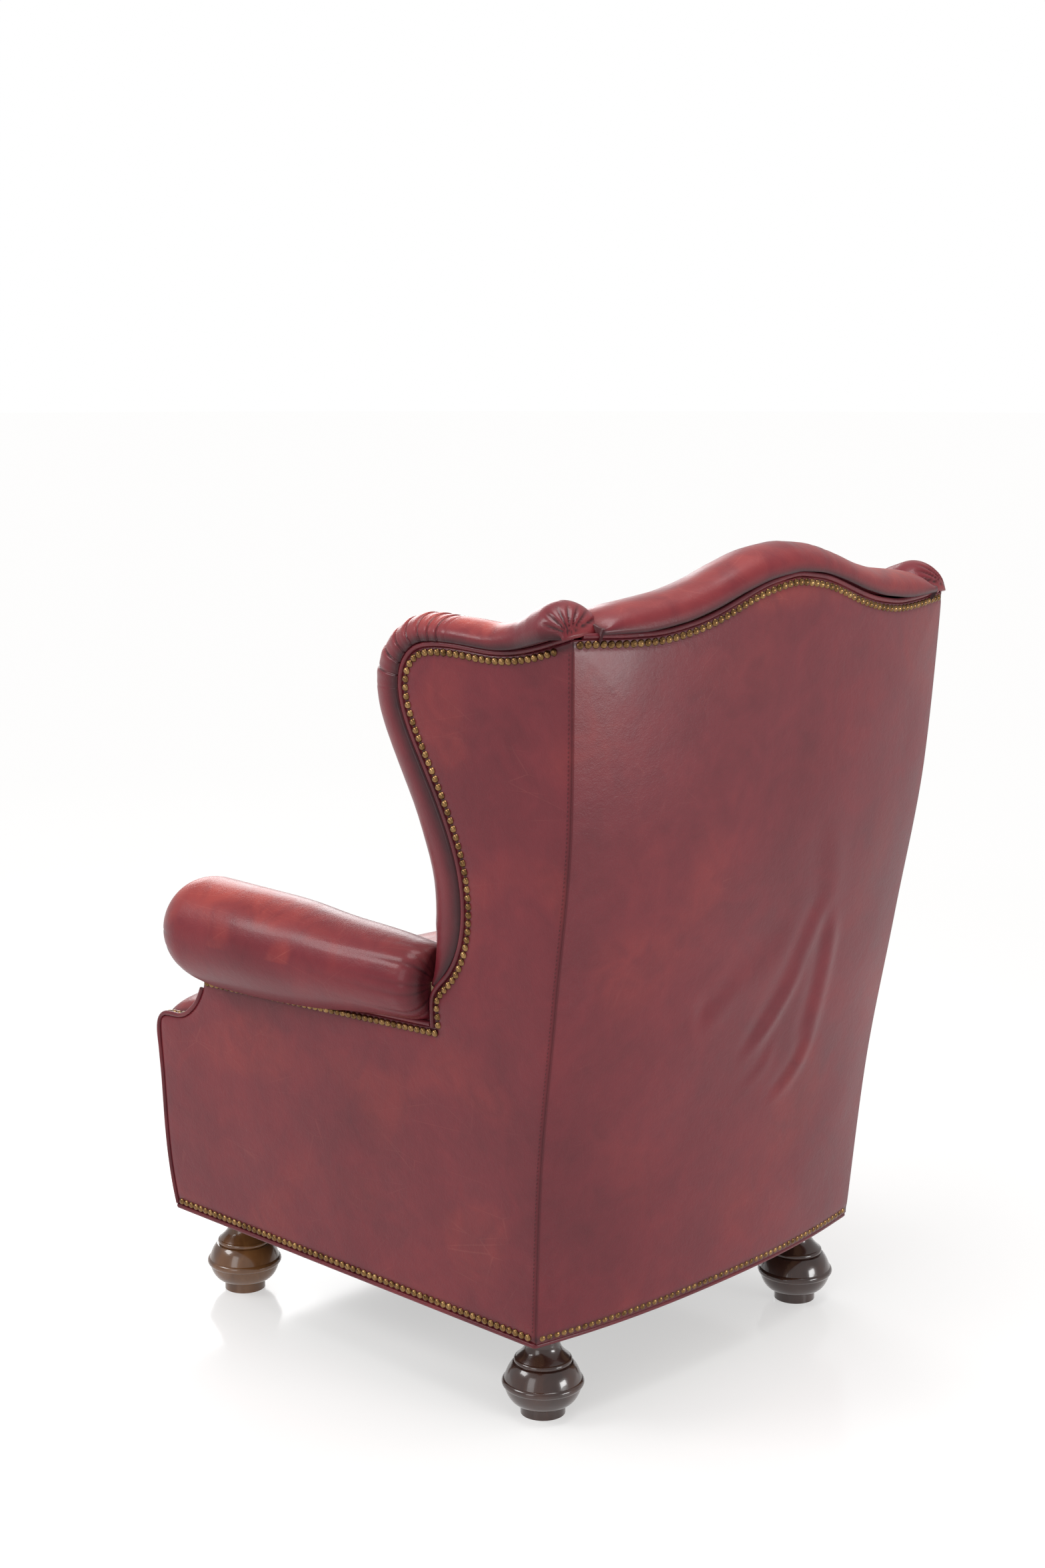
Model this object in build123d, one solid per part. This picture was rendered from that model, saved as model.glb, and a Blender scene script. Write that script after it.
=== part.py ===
from build123d import *
import math
import os

# Leather wing armchair on bun feet. Sizes in millimetres. Origin on the floor under the middle of the
# chair's footprint box. +Z up, the sitter looks along -Y, and +X is the sitter's left.

os.makedirs("parts", exist_ok=True)

# Plan of the chair
overall_depth = 860.0
rear_setback = 144.4
base_depth = 694.6
base_half_width = 308.2
side_flare = 43.5
front_spread = 5.7
back_rake = 96.9
back_bow_bottom = 28.0
back_bow_top = 35.0
back_bow_power = 2.4

# Heights, each one added on the one before
foot_height = 112.0
bottom_lift = 6.0
nose_height = 272.0
nose_rise = 72.0
arm_tack_rise = 21.5
notch_height = 49.5
wing_height = 444.0
crest_rise = 47.0

# Lengths seen on the side panel
notch_setback = 149.6
nose_length = 104.0
nose_round = 11.0
front_lean = 14.0

# Leather, welts and nails
panel_thickness = 5.2
leather_thickness = 2.5
gap = 0.3
edge_gap = 1.0
welt_radius = 3.2
welt_gap = 0.4
welt_steps = 89
nail_radius = 4.7
nail_height = 3.0
nail_pitch = 10.4
nail_inset = 6.0

# Hardwood frame
post_size = 34.0
back_rail_thickness = 26.0
front_rail_thickness = 28.0
rail_lift = 4.6
rail_height = 74.0
block_height = 48.0
block_reach = 45.0
front_post_depth = 80.0
front_post_top_depth = 50.0
post_shoulder_height = 250.0
post_shoulder_rise = 90.0
stay_rail_height = 30.0
lower_rail_height = 60.0
crest_rail_height = 76.0
arm_rail_width = 40.0
arm_rail_height = 30.0
wing_board_thickness = 22.0

# Feet
foot_radius = 51.0
foot_side_inset = 57.5
foot_rear_inset = 40.6
foot_front_inset = 68.8
dowel_radius = 12.5
dowel_length = 38.0
dowel_clearance = 0.15

# Arm rolls
arm_front_radius = 68.0
arm_rear_radius = 49.0
arm_front_lift = 13.0
arm_rear_lift = 6.5
arm_roll_offset = 6.0
arm_dome_setback = 38.0
arm_end_round = 20.0
arm_wall = 58.0

# Wing roll
wing_roll_reach = 60.0
knob_proud = 20.0
knob_length = 38.0

# Back and crest
crest_roll_rise = 32.0
crest_roll_proud = 3.0
crest_roll_depth = 93.0
back_pad_depth = 206.0
back_pad_crown = 22.0

# Seat
deck_height = 227.0
seat_rear_height = 312.0
seat_crown = 9.0
seat_front_swell = 18.0
seat_side_rise = 28.0
nose_band_width = 10.4
apron_gap = 6.5

# Suspension
webbing_thickness = 2.0
webbing_width = 50.0
back_strap_pitch = 105.0
hessian_thickness = 1.5
cloth_thickness = 1.0
spring_radius = 44.0
spring_waist_share = 0.68
spring_wire = 4.0
spring_turns = 3
spring_x_pitch = 150.0
spring_y_pitch = 180.0
spring_grid = 3

# Tables of shares, read along smooth curves
corner_rake_shares = [(0, 0), (0.25, 0.19), (0.5, 0.535), (0.75, 0.872), (1, 1)]
crest_shares = [
    (0, 1.0), (0.12, 0.9), (0.245, 0.65), (0.39, 0.28), (0.53, 0.03),
    (0.68, -0.085), (0.81, -0.064), (0.93, -0.01), (1, 0),
]
slab_sections = 12
bow_stations_shares = [-1, -0.88, -0.7, -0.4, 0, 0.4, 0.7, 0.88, 1]
wing_outline_shares = [
    (0.025, -0.008), (0.108, 0.038), (0.209, 0.128), (0.249, 0.238), (0.234, 0.346), (0.176, 0.45),
    (0.091, 0.552), (-0.007, 0.654), (-0.096, 0.76), (-0.115, 0.818), (-0.094, 0.878),
    (-0.016, 0.923), (0.092, 0.939), (0.305, 0.941), (0.506, 0.937), (0.705, 0.951),
    (0.9, 0.982), (1, 1),
]
nose_outline_shares = [
    (0.11, 0.015), (0.22, 0.035), (0.36, 0.055), (0.5, 0.1), (0.69, 0.26), (0.84, 0.49), (0.95, 0.75),
    (1, 1),
]
front_edge_shares = [(0, 1), (0.21, 0.29), (0.46, 0.04), (0.75, 0), (0.955, 0)]
nose_round_shares = (0.29, 0.29)
notch_shares = [(0, 0), (0, 0.45), (0.02, 0.75)]
wing_reach_shares = [
    (0, 0.14), (0.05, 0.4), (0.12, 0.66), (0.2, 0.73), (0.35, 0.77), (0.5, 0.9), (0.565, 1),
    (0.63, 0.8), (0.71, 0.6), (0.85, 0.49), (0.95, 0.56), (1, 0.62),
]
wing_proud_shares = [(0, 0.05), (0.2, 0.2), (0.5, 0.25), (0.7, 0.3), (0.85, 0.35), (0.95, 0.65), (1, 0.95)]
knob_shares = [(0.37, 1.0, 1.0), (0.7, 0.86, 0.86), (0.92, 0.58, 0.5), (1, 0.25, 0.1)]
arm_radius_shares = [(0, 0), (0.1, 0.17), (0.38, 0.54), (0.55, 0.75), (0.82, 0.97), (1, 1)]
crest_section_shares = [(0, 0), (0.02, 0.5), (0.2, 0.9), (0.45, 1), (0.76, 0.76), (0.97, 0)]
back_depth_shares = [(0.85, 0.66), (0.6, 0.865), (0.34, 1), (0.13, 0.975), (0, 0.93)]
seat_side_shares = [
    (-1, 0, 0.2), (-0.95, 0.45, 0.6), (-0.87, 0.7, 0.82), (-0.74, 0.86, 0.92), (-0.54, 0.95, 0.97),
    (-0.28, 0.99, 0.99), (0, 1, 1), (0.28, 0.99, 0.99),
    (0.54, 0.95, 0.97), (0.74, 0.86, 0.92), (0.87, 0.7, 0.82), (0.95, 0.45, 0.6), (1, 0, 0.2),
]
seat_front_shares = [(0, 0), (0.07, 0), (0.2, 0.12), (0.33, 0.38), (0.52, 0.75), (0.76, 1), (0.91, 0.7)]
seat_top_shares = [
    (0.94, 0.985, 0), (0.89, 1, 0), (0.7, 0.9, 0.45), (0.46, 0.45, 1), (0.3, 0.1, 0.6), (0.21, 0, 0.1),
    (0.1, 0, 0), (0, 0, 0),
]
foot_lower_shares = [(0.608, 0.116), (0.745, 0.152), (0.882, 0.241), (0.941, 0.321)]
foot_bead_shares = [(0.941, 0.321), (1, 0.364), (0.941, 0.407)]
foot_upper_shares = [(0.941, 0.407), (0.912, 0.446), (0.843, 0.518), (0.735, 0.585)]
foot_collar_shares = [(0.68, 0.59), (0.71, 0.62), (0.66, 0.65)]
foot_cove_shares = [(0.66, 0.65), (0.55, 0.7), (0.44, 0.77), (0.412, 0.83)]
foot_base_share = 0.545

# Places worked out from the sizes
rear_y = overall_depth / 2 - rear_setback
front_y = rear_y - base_depth
panel_bottom_z = foot_height + bottom_lift
nose_z = panel_bottom_z + nose_height
tack_front_z = nose_z + nose_rise
tack_rear_z = tack_front_z + arm_tack_rise
notch_top_z = tack_rear_z + notch_height
corner_top_z = notch_top_z + wing_height
panel_height = corner_top_z - panel_bottom_z
notch_y = rear_y - notch_setback
wing_depth = rear_y + back_rake - notch_y
arm_front_y = front_y + nose_length
welt_reach = 2 * welt_radius + 2 * welt_gap
frame_inset = panel_thickness + gap
deck_z = panel_bottom_z + deck_height
seat_rear_z = panel_bottom_z + seat_rear_height
apron_y = front_y + front_lean - apron_gap
left_normal = Vector(1, front_spread / base_depth, -side_flare / panel_height).normalized()
overrun = overall_depth


def smooth(table, at):
    """Value of a table of pairs along a curve that never overshoots; straight beyond its ends."""
    xs = [pair[0] for pair in table]
    ys = [pair[1] for pair in table]
    slopes = [(ys[i + 1] - ys[i]) / (xs[i + 1] - xs[i]) for i in range(len(xs) - 1)]
    ends = [slopes[0]]
    for before, after in zip(slopes, slopes[1:]):
        level = before * after <= 0
        ends.append(0 if level else 2 * before * after / (before + after))
    ends.append(slopes[-1])
    if at <= xs[0]:
        return ys[0] + ends[0] * (at - xs[0])
    if at >= xs[-1]:
        return ys[-1] + ends[-1] * (at - xs[-1])
    i = max(k for k in range(len(xs) - 1) if xs[k] <= at)
    width = xs[i + 1] - xs[i]
    t = (at - xs[i]) / width
    start = ys[i] * (1 + 2 * t) * (1 - t) ** 2 + ends[i] * width * t * (1 - t) ** 2
    finish = ys[i + 1] * t * t * (3 - 2 * t) - ends[i + 1] * width * t * t * (1 - t)
    return start + finish


def corner_y(z):
    """Y of the rear corner seam at height z."""
    return rear_y + back_rake * smooth(corner_rake_shares, (z - panel_bottom_z) / panel_height)


def side_x(y, z):
    """Outer face of the left side panel."""
    flare = side_flare * (z - panel_bottom_z) / panel_height
    return base_half_width + flare + front_spread * (rear_y - y) / base_depth


def side_point(y, z, depth=0.0):
    """Point on the left side's plane, moved inward by depth."""
    return Vector(side_x(y, z), y, z) - left_normal * depth


def crest_z(x):
    """Top edge of the outside back panel."""
    half = side_x(corner_y(corner_top_z), corner_top_z)
    return corner_top_z + crest_rise * smooth(crest_shares, min(abs(x) / half, 1))


def back_y(x, z):
    """Outer face of the bowed back."""
    bow = back_bow_bottom + (back_bow_top - back_bow_bottom) * (z - panel_bottom_z) / panel_height
    share = min(abs(x) / side_x(corner_y(z), z), 1)
    return corner_y(z) + bow * (1 - share**back_bow_power)


def tack_z(y):
    """Height of the side panel's top edge under the arm roll."""
    return tack_front_z + arm_tack_rise * (y - arm_front_y) / (notch_y - arm_front_y)


def span(low, high, steps):
    """Evenly spaced values from low to high."""
    return [low + (high - low) * i / (steps - 1) for i in range(steps)]


def edge_through(points):
    """A straight edge through two points, or a smooth one through more."""
    return Line(*points) if len(points) == 2 else Spline(*points)


def closed_face(parts):
    """Face whose boundary is the lines and curves given in turn."""
    return Face(Wire([edge for part in parts for edge in part.edges()]))


def outline_face(runs):
    """Face whose boundary is the runs of points, each starting where the last one ended."""
    return closed_face([edge_through(points) for points in runs])


def side_plate(runs, near, far):
    """Flat piece on the left side: runs of (y, z) points, from depth near to depth far."""
    face = outline_face([[side_point(y, z, near) for y, z in points] for points in runs])
    return extrude(face, amount=far - near, dir=-left_normal)


def ring_runs(corners):
    """Straight runs round a ring of corners."""
    return [[a, b] for a, b in zip(corners, corners[1:] + corners[:1])]


def right_of(shape):
    """The same piece on the sitter's right."""
    return mirror(shape, about=Plane.YZ)


def between_sides(shape, depth):
    """Keeps what lies between the two side planes, moved inward by depth."""
    at = side_point(0, 0, depth)
    right_normal = Vector(-left_normal.X, left_normal.Y, left_normal.Z)
    kept = split(shape, bisect_by=Plane(at, z_dir=left_normal), keep=Keep.BOTTOM)
    at_right = Vector(-at.X, at.Y, at.Z)
    return split(kept, bisect_by=Plane(at_right, z_dir=right_normal), keep=Keep.BOTTOM)


def back_slab(low, high, inset, near, far):
    """Bowed slab of the back between two heights and two depths, its ends inset from the side planes."""
    sections = []
    for z in span(foot_height, corner_top_z + 2 * crest_rise, slab_sections):
        half = side_x(corner_y(z), z)
        stations = [half * share for share in bow_stations_shares]
        outer = [Vector(x, back_y(x, z) - near, z) for x in stations]
        inner = [Vector(x, back_y(x, z) - far, z) for x in stations]
        runs = [outer, [outer[-1], inner[-1]], inner[::-1], [inner[0], outer[0]]]
        sections.append(outline_face(runs))
    slab = between_sides(loft(sections), inset)
    slab = split(slab, bisect_by=Plane.XY.offset(low), keep=Keep.TOP)
    return split(slab, bisect_by=Plane.XY.offset(high), keep=Keep.BOTTOM)


def above_crest(lift):
    """Everything above the crest line, raised by lift."""
    half = side_x(corner_y(corner_top_z), corner_top_z)
    low = [Vector(x, -overrun, crest_z(x) + lift) for x in span(-half, half, 25)]
    roof_z = corner_top_z + overrun
    runs = [
        low,
        [low[-1], Vector(half, -overrun, roof_z)],
        [Vector(half, -overrun, roof_z), Vector(-half, -overrun, roof_z)],
        [Vector(-half, -overrun, roof_z), low[0]],
    ]
    return extrude(outline_face(runs), amount=2 * overrun, dir=Vector(0, 1, 0))


def box_between(low, high):
    """Box from its lowest to its highest corner."""
    size = [b - a for a, b in zip(low, high)]
    middle = [(a + b) / 2 for a, b in zip(low, high)]
    return Pos(*middle) * Box(*size)


def shifted(points, amount):
    """Points of an open outline in a plane, moved to the right of the way it runs by amount."""
    moved = []
    for i, (a, b) in enumerate(points):
        a0, b0 = points[max(i - 1, 0)]
        a1, b1 = points[min(i + 1, len(points) - 1)]
        length = math.hypot(a1 - a0, b1 - b0)
        moved.append((a + (b1 - b0) / length * amount, b - (a1 - a0) / length * amount))
    return moved


def tube(path, radius):
    """Round tube along a path."""
    start = Plane(path @ 0, z_dir=path % 0)
    return sweep(start * Circle(radius), path=path)


def write(node, *shapes):
    """Writes one node's solids."""
    solids = [solid for shape in shapes for solid in shape.solids()]
    body = solids[0] if len(solids) == 1 else Compound(children=solids)
    export_step(body, f"parts/{node}.step")


def write_pair(node, shape):
    """Writes a left piece and its mirror image."""
    write(f"{node}_left", shape)
    write(f"{node}_right", right_of(shape))


# Outlines on the side plane, as (y, z)
def front_edge_y(z):
    """Front edge of the side panel at height z."""
    return front_y + front_lean * smooth(front_edge_shares, (z - panel_bottom_z) / nose_height)


def front_points(start=0):
    """From the bottom up the front edge, round the nose's corner, and up to the arm's underside."""
    edge = [(front_y + front_lean * b, panel_bottom_z + nose_height * a) for a, b in front_edge_shares]
    corner = (front_y + nose_round * nose_round_shares[0], nose_z - nose_round * nose_round_shares[1])
    nose = [(front_y + nose_length * a, nose_z + nose_rise * b) for a, b in nose_outline_shares]
    return (edge + [corner] + nose)[start:]


def wing_points():
    """From above the notch, round the wing's front, to the rear corner's top."""
    return [(notch_y + wing_depth * a, notch_top_z + wing_height * b) for a, b in wing_outline_shares]


def notch_points():
    """Up the short edge behind the arm roll, into the wing's outline."""
    lower = [(notch_y + notch_height * a, tack_rear_z + notch_height * b) for a, b in notch_shares]
    return lower + wing_points()


def corner_points(top, bottom, inset, steps=12):
    """Down along the rear corner seam, moved forward by inset."""
    return [(corner_y(z) - inset, z) for z in span(top, bottom, steps)]


# Arm roll axis, a straight line that follows the tacking line under it
roll_front_y = arm_front_y + arm_dome_setback
roll_rear_y = notch_y - welt_reach - gap
roll_front_z = tack_z(roll_front_y) + arm_front_lift + arm_front_radius
roll_rear_z = tack_z(roll_rear_y) + arm_rear_lift + arm_rear_radius
roll_front = Vector(side_x(roll_front_y, roll_front_z) + arm_roll_offset, roll_front_y, roll_front_z)
roll_rear = Vector(side_x(roll_rear_y, roll_rear_z) + arm_roll_offset, roll_rear_y, roll_rear_z)
roll_axis = (roll_front - roll_rear).normalized()
roll_up = (Vector(0, 0, 1) - roll_axis * roll_axis.Z).normalized()
roll_length = (roll_front - roll_rear).length


def roll_z(y):
    """Height of the arm roll's axis."""
    share = (y - roll_front_y) / (roll_rear_y - roll_front_y)
    return roll_front_z + (roll_rear_z - roll_front_z) * share


def arm_roll(grow):
    """Arm roll as a turned form with a domed front, its surface moved out by grow."""
    def place(along, radius):
        return roll_rear + roll_axis * along + roll_up * radius

    swell = arm_front_radius - arm_rear_radius
    sides = [
        (arm_end_round + (roll_length - arm_end_round) * a, arm_rear_radius + swell * b + grow)
        for a, b in arm_radius_shares
    ]
    end_radius = arm_rear_radius - arm_end_round
    rear_mid = (arm_end_round * (1 - math.sqrt(0.5)), end_radius + arm_end_round * math.sqrt(0.5))
    tip = sides[-1][1]
    diagonal = tip * math.sqrt(0.5)
    corner = place(*sides[0])
    profile = [
        Line(roll_rear - roll_axis * grow, place(-grow, end_radius)),
        ThreePointArc(place(-grow, end_radius), place(rear_mid[0] - grow, rear_mid[1] + grow), corner),
        Spline(*[place(*side) for side in sides]),
        ThreePointArc(
            place(roll_length, tip), place(roll_length + diagonal, diagonal), roll_front + roll_axis * tip
        ),
        Line(roll_front + roll_axis * tip, roll_rear - roll_axis * grow),
    ]
    return revolve(closed_face(profile), axis=Axis(roll_rear, roll_axis))


def above_arm_line(shape):
    """Keeps what lies above the top of the arm rail."""
    low, high = side_point(roll_front_y, roll_z(roll_front_y)), side_point(roll_rear_y, roll_z(roll_rear_y))
    upward = left_normal.cross(high - low).normalized()
    cut = Plane(low + upward * gap, z_dir=upward * (1 if upward.Z > 0 else -1))
    return split(shape, bisect_by=cut, keep=Keep.TOP)


def wing_roll(grow):
    """Wing roll with its knob: half-round sections across the wing's edge, moved out by grow."""
    path = Spline(*[side_point(y, z) for y, z in wing_points()])
    stations = []
    for share in span(0, 1, 21):
        tangent = path % share
        reach = wing_roll_reach * smooth(wing_reach_shares, share)
        proud = knob_proud * smooth(wing_proud_shares, share)
        stations.append((path @ share, tangent, reach, proud, arm_wall))
    last, tangent, reach, proud, wall = stations[-1]
    for along, reach_share, proud_share in knob_shares:
        moved = last + tangent * knob_length * along
        inner = wall * (1 + reach_share) / 2
        stations.append((moved, tangent, reach * reach_share, proud * proud_share, inner))
    sections = []
    for place, tangent, reach, proud, wall in stations:
        outward = left_normal.cross(tangent).normalized()
        if outward.dot(Vector(0, -1, 1)) < 0:
            outward = -outward
        middle = (proud - wall) / 2
        half = (proud + wall) / 2 + grow
        points = []
        for i in range(9):
            angle = math.pi * i / 8
            rise = (reach + grow) * math.sin(angle) ** 0.85 if 0 < i < 8 else 0
            across = middle + half * math.cos(angle)
            points.append(place + outward * (welt_reach - grow + rise) + left_normal * across)
        sections.append(outline_face([points, [points[-1], points[0]]]))
    return loft(sections)


def make_feet():
    """Turned bun feet with a ring, a collar and a dowel."""
    def at(shares):
        return [Vector(foot_radius * r, 0, foot_height * z) for r, z in shares]

    lower, bead, upper = at(foot_lower_shares), at(foot_bead_shares), at(foot_upper_shares)
    collar, cove = at(foot_collar_shares), at(foot_cove_shares)
    base_r = foot_radius * foot_base_share
    neck_r = cove[-1].X
    top_z = foot_height + dowel_length
    foot_plug = [
        Vector(base_r, 0, 0), Vector(0, 0, 0), Vector(0, 0, top_z), Vector(dowel_radius, 0, top_z),
        Vector(dowel_radius, 0, foot_height), Vector(neck_r, 0, foot_height), cove[-1],
    ]
    profile = [
        Line(Vector(base_r, 0, 0), Vector(base_r, 0, lower[0].Z)),
        Line(Vector(base_r, 0, lower[0].Z), lower[0]),
        Spline(*lower),
        ThreePointArc(*bead),
        Spline(*upper),
        Line(upper[-1], collar[0]),
        ThreePointArc(*collar),
        Spline(*cove),
        Polyline(*foot_plug),
    ]
    foot = revolve(closed_face(profile), axis=Axis.Z)
    for end, y in foot_rows():
        x = foot_x(y)
        write(f"foot_{end}_left", Pos(x, y, 0) * foot)
        write(f"foot_{end}_right", Pos(-x, y, 0) * foot)


def foot_rows():
    return [("rear", rear_y - foot_rear_inset), ("front", front_y + front_lean + foot_front_inset)]


def foot_x(y):
    return side_x(y, foot_height) - foot_side_inset


def make_frame():
    """Hardwood frame."""
    inner = frame_inset + post_size
    rail_z = foot_height + rail_lift
    rail_top = rail_z + rail_height

    # Rear posts, square in plan, following the rear corner
    post_top = corner_top_z - nail_inset - welt_radius
    sections = []
    for z in span(foot_height, post_top, slab_sections):
        x1 = side_x(corner_y(z), z) - frame_inset
        y1 = corner_y(z) - frame_inset
        ring = [(x1, y1), (x1 - post_size, y1), (x1 - post_size, y1 - post_size), (x1, y1 - post_size)]
        sections.append(outline_face(ring_runs([Vector(x, y, z) for x, y in ring])))
    write_pair("rear_post", loft(sections))

    # Rails of the back
    far = frame_inset + back_rail_thickness
    rail_end = inner + 2 * gap
    write("seat_rail_back", back_slab(rail_z, rail_top, rail_end, frame_inset, far))
    write("back_lower_rail", back_slab(deck_z, deck_z + lower_rail_height, rail_end, frame_inset, far))
    crest_low, crest_high = corner_top_z - crest_rail_height, corner_top_z + 1.5 * crest_rise
    crest_rail = back_slab(crest_low, crest_high, rail_end, frame_inset, far)
    write("crest_rail", crest_rail - above_crest(0))

    # Shaped boards at the arms' fronts
    post_rear = front_y + front_post_depth
    top_rear = arm_front_y + front_post_top_depth
    shoulder = foot_height + post_shoulder_height
    edge = front_points()
    rail_under = arm_rail_height + gap
    runs = [
        [(post_rear, foot_height), (edge[0][0], foot_height)],
        [(edge[0][0], foot_height), edge[0]],
        edge,
        [edge[-1], (arm_front_y, roll_z(arm_front_y) - rail_under)],
        [(arm_front_y, roll_z(arm_front_y) - rail_under), (top_rear, roll_z(top_rear) - rail_under)],
        [(top_rear, roll_z(top_rear) - rail_under), (top_rear, shoulder + post_shoulder_rise)],
        [(top_rear, shoulder + post_shoulder_rise), (post_rear, shoulder)],
        [(post_rear, shoulder), (post_rear, foot_height)],
    ]
    write_pair("arm_post", side_plate(runs, frame_inset, inner))

    # Front rail between the boards
    rail_front_y = apron_y + leather_thickness + front_rail_thickness / 3
    rail_back_y = rail_front_y + front_rail_thickness
    front_rail = box_between((-overrun, rail_front_y, rail_z), (overrun, rail_back_y, rail_top))
    front_rail = between_sides(front_rail, inner + gap)
    write("seat_rail_front", front_rail)

    # Side rails, and the stay rails beside the deck
    start = post_rear + gap
    low_end = corner_y(rail_z) - inner - gap
    ring = [(start, rail_z), (low_end, rail_z), (low_end, rail_top), (start, rail_top)]
    write_pair("seat_rail", side_plate(ring_runs(ring), frame_inset, inner))
    stay_top = deck_z + hessian_thickness
    stay_low = stay_top - stay_rail_height
    deck_end = corner_y(stay_low) - inner - gap
    ring = [(start, stay_low), (deck_end, stay_low), (deck_end, stay_top), (start, stay_top)]
    write_pair("side_stay_rail", side_plate(ring_runs(ring), frame_inset, inner))

    # Arm rails
    write_pair("arm_rail", arm_rail(0))

    # Wing boards
    write_pair("wing_board", wing_sheet(frame_inset, frame_inset + wing_board_thickness))

    # Corner blocks, bored for the foot dowels
    blocks = []
    behind = back_slab(foot_height, rail_top, 0, -overrun / 2, far + gap)
    for end, y in foot_rows():
        x = foot_x(y)
        low_y = y - block_reach if end == "rear" else rail_back_y + gap
        high_y = y + 2 * block_reach if end == "rear" else y + block_reach
        block = box_between(
            (x - block_reach, low_y, foot_height), (x + 2 * block_reach, high_y, foot_height + block_height)
        )
        block = between_sides(block, inner + gap)
        if end == "rear":
            block = block - behind
        bore_radius = dowel_radius + dowel_clearance
        bore_depth = dowel_length + gap
        bore = Pos(x, y, foot_height + bore_depth / 2) * Cylinder(bore_radius, bore_depth)
        block = block - bore
        blocks += [block, right_of(block)]
    write("corner_blocks", *blocks)


def arm_rail(grow):
    """Rail inside the arm roll and behind the wing's foot, moved out by grow on every face."""
    inner = frame_inset + post_size
    front = arm_front_y - grow
    rear = corner_y(roll_z(rear_y) - 1.5 * arm_rail_height) - inner - gap + grow
    ring = [
        (front, roll_z(front) - arm_rail_height - grow), (rear, roll_z(rear) - arm_rail_height - grow),
        (rear, roll_z(rear) + grow), (front, roll_z(front) + grow),
    ]
    return side_plate(ring_runs(ring), frame_inset - grow, frame_inset + arm_rail_width + grow)


def wing_sheet(near, far):
    """Board or pad with the wing's outline, above the arm rail, its edge under the welt."""
    edge = shifted(wing_points(), edge_gap - welt_reach)
    inset = frame_inset + post_size + 2 * gap
    low = (corner_y(notch_top_z) - inset, notch_top_z - welt_reach)
    rear = corner_points(notch_top_z, edge[-4][1], inset)
    top = edge[:-3] + [rear[-1]]
    runs = [top, rear[::-1], [rear[0], low], [low, (edge[0][0], low[1])], [(edge[0][0], low[1]), edge[0]]]
    return above_arm_line(side_plate(runs, near, far))


def make_covers():
    """Outside leather panels."""
    edge = front_points()
    bottom_rear = (corner_y(panel_bottom_z), panel_bottom_z)
    runs = [
        [bottom_rear, edge[0]],
        edge,
        [edge[-1], notch_points()[0]],
        notch_points(),
        corner_points(corner_top_z, panel_bottom_z, 0),
    ]
    write_pair("outside_panel", side_plate(runs, 0, panel_thickness))
    high = corner_top_z + 1.5 * crest_rise
    back = back_slab(panel_bottom_z, high, panel_thickness + gap, 0, panel_thickness)
    write("outside_back_panel", back - above_crest(0))


def make_arm_rolls():
    """Leather, stuffing and pads of the arms."""
    outer, inner, cavity = arm_roll(0), arm_roll(-leather_thickness), arm_roll(-leather_thickness - gap)
    wing = above_arm_line(wing_roll(gap))
    top_rear = arm_front_y + front_post_top_depth + gap
    low_z = tack_front_z
    ring = [
        (arm_front_y - gap, low_z), (top_rear, low_z),
        (top_rear, roll_z(arm_front_y)), (arm_front_y - gap, roll_z(arm_front_y)),
    ]
    post = side_plate(ring_runs(ring), frame_inset - gap, frame_inset + post_size + gap)
    rail = arm_rail(gap)
    write_pair("arm_roll_cover", outer - inner - wing - post - rail)
    write_pair("arm_roll_stuffing", cavity - wing - post - rail)

    # Inside arm pads, from the deck up to the rail's top
    near = frame_inset + arm_rail_width + gap
    bottom = deck_z + hessian_thickness + gap
    edge = front_points()
    floor = Plane.XY.offset(bottom)
    rear = corner_y(bottom) - frame_inset - post_size - gap
    runs = [
        edge,
        [edge[-1], (arm_front_y, roll_z(arm_front_y))],
        [(arm_front_y, roll_z(arm_front_y)), (rear, roll_z(rear))],
        [(rear, roll_z(rear)), (rear, edge[0][1])],
        [(rear, edge[0][1]), edge[0]],
    ]
    pad = split(side_plate(runs, near, arm_wall), bisect_by=floor, keep=Keep.TOP)
    write_pair("inside_arm_pad", pad - arm_roll(gap))

    # Facing on the board's curved front, above the seat
    inner_line = shifted(edge, -gap)
    outer_line = shifted(edge, -gap - leather_thickness)
    head_z = roll_z(arm_front_y) - arm_front_radius / 2
    heads = [(inner_line[-1][0], head_z), (outer_line[-1][0], head_z)]
    runs = [
        inner_line,
        [inner_line[-1], heads[0]],
        [heads[0], heads[1]],
        [heads[1], outer_line[-1]],
        outer_line[::-1],
        [outer_line[0], inner_line[0]],
    ]
    near = frame_inset + nose_band_width + gap
    facing = split(
        side_plate(runs, near, arm_wall), bisect_by=Plane.XY.offset(nose_z + nose_round), keep=Keep.TOP
    )
    write_pair("arm_facing", facing - arm_roll(gap))


def make_wings():
    """Wing rolls with their knobs, and the inside wing pads."""
    write_pair("wing_roll", above_arm_line(wing_roll(0)))
    near = frame_inset + wing_board_thickness + gap
    write_pair("inside_wing_pad", wing_sheet(near, arm_wall))


def back_profile(x, depth):
    """Outline (y, z) of the inside back over the crest, from the rear welt to the seat, moved in by depth."""
    z0 = crest_z(x)
    y0 = back_y(x, z0) + crest_roll_proud
    half = side_x(corner_y(z0), z0) - arm_wall
    points = [
        (y0 - crest_roll_depth * a, z0 + welt_reach + edge_gap + crest_roll_rise * b)
        for a, b in crest_section_shares
    ]
    bottom = seat_rear_z + leather_thickness
    for height_share, depth_share in back_depth_shares:
        z = bottom + (corner_top_z - bottom) * height_share
        crown = back_pad_crown * min(abs(x) / half, 1) ** 3
        points.append((back_y(0, z) - back_pad_depth * depth_share + crown, z))
    moved = shifted(points, -depth)
    moved[-1] = (moved[-1][0], bottom)
    moved[0] = (moved[0][0], points[0][1])
    return moved


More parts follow.
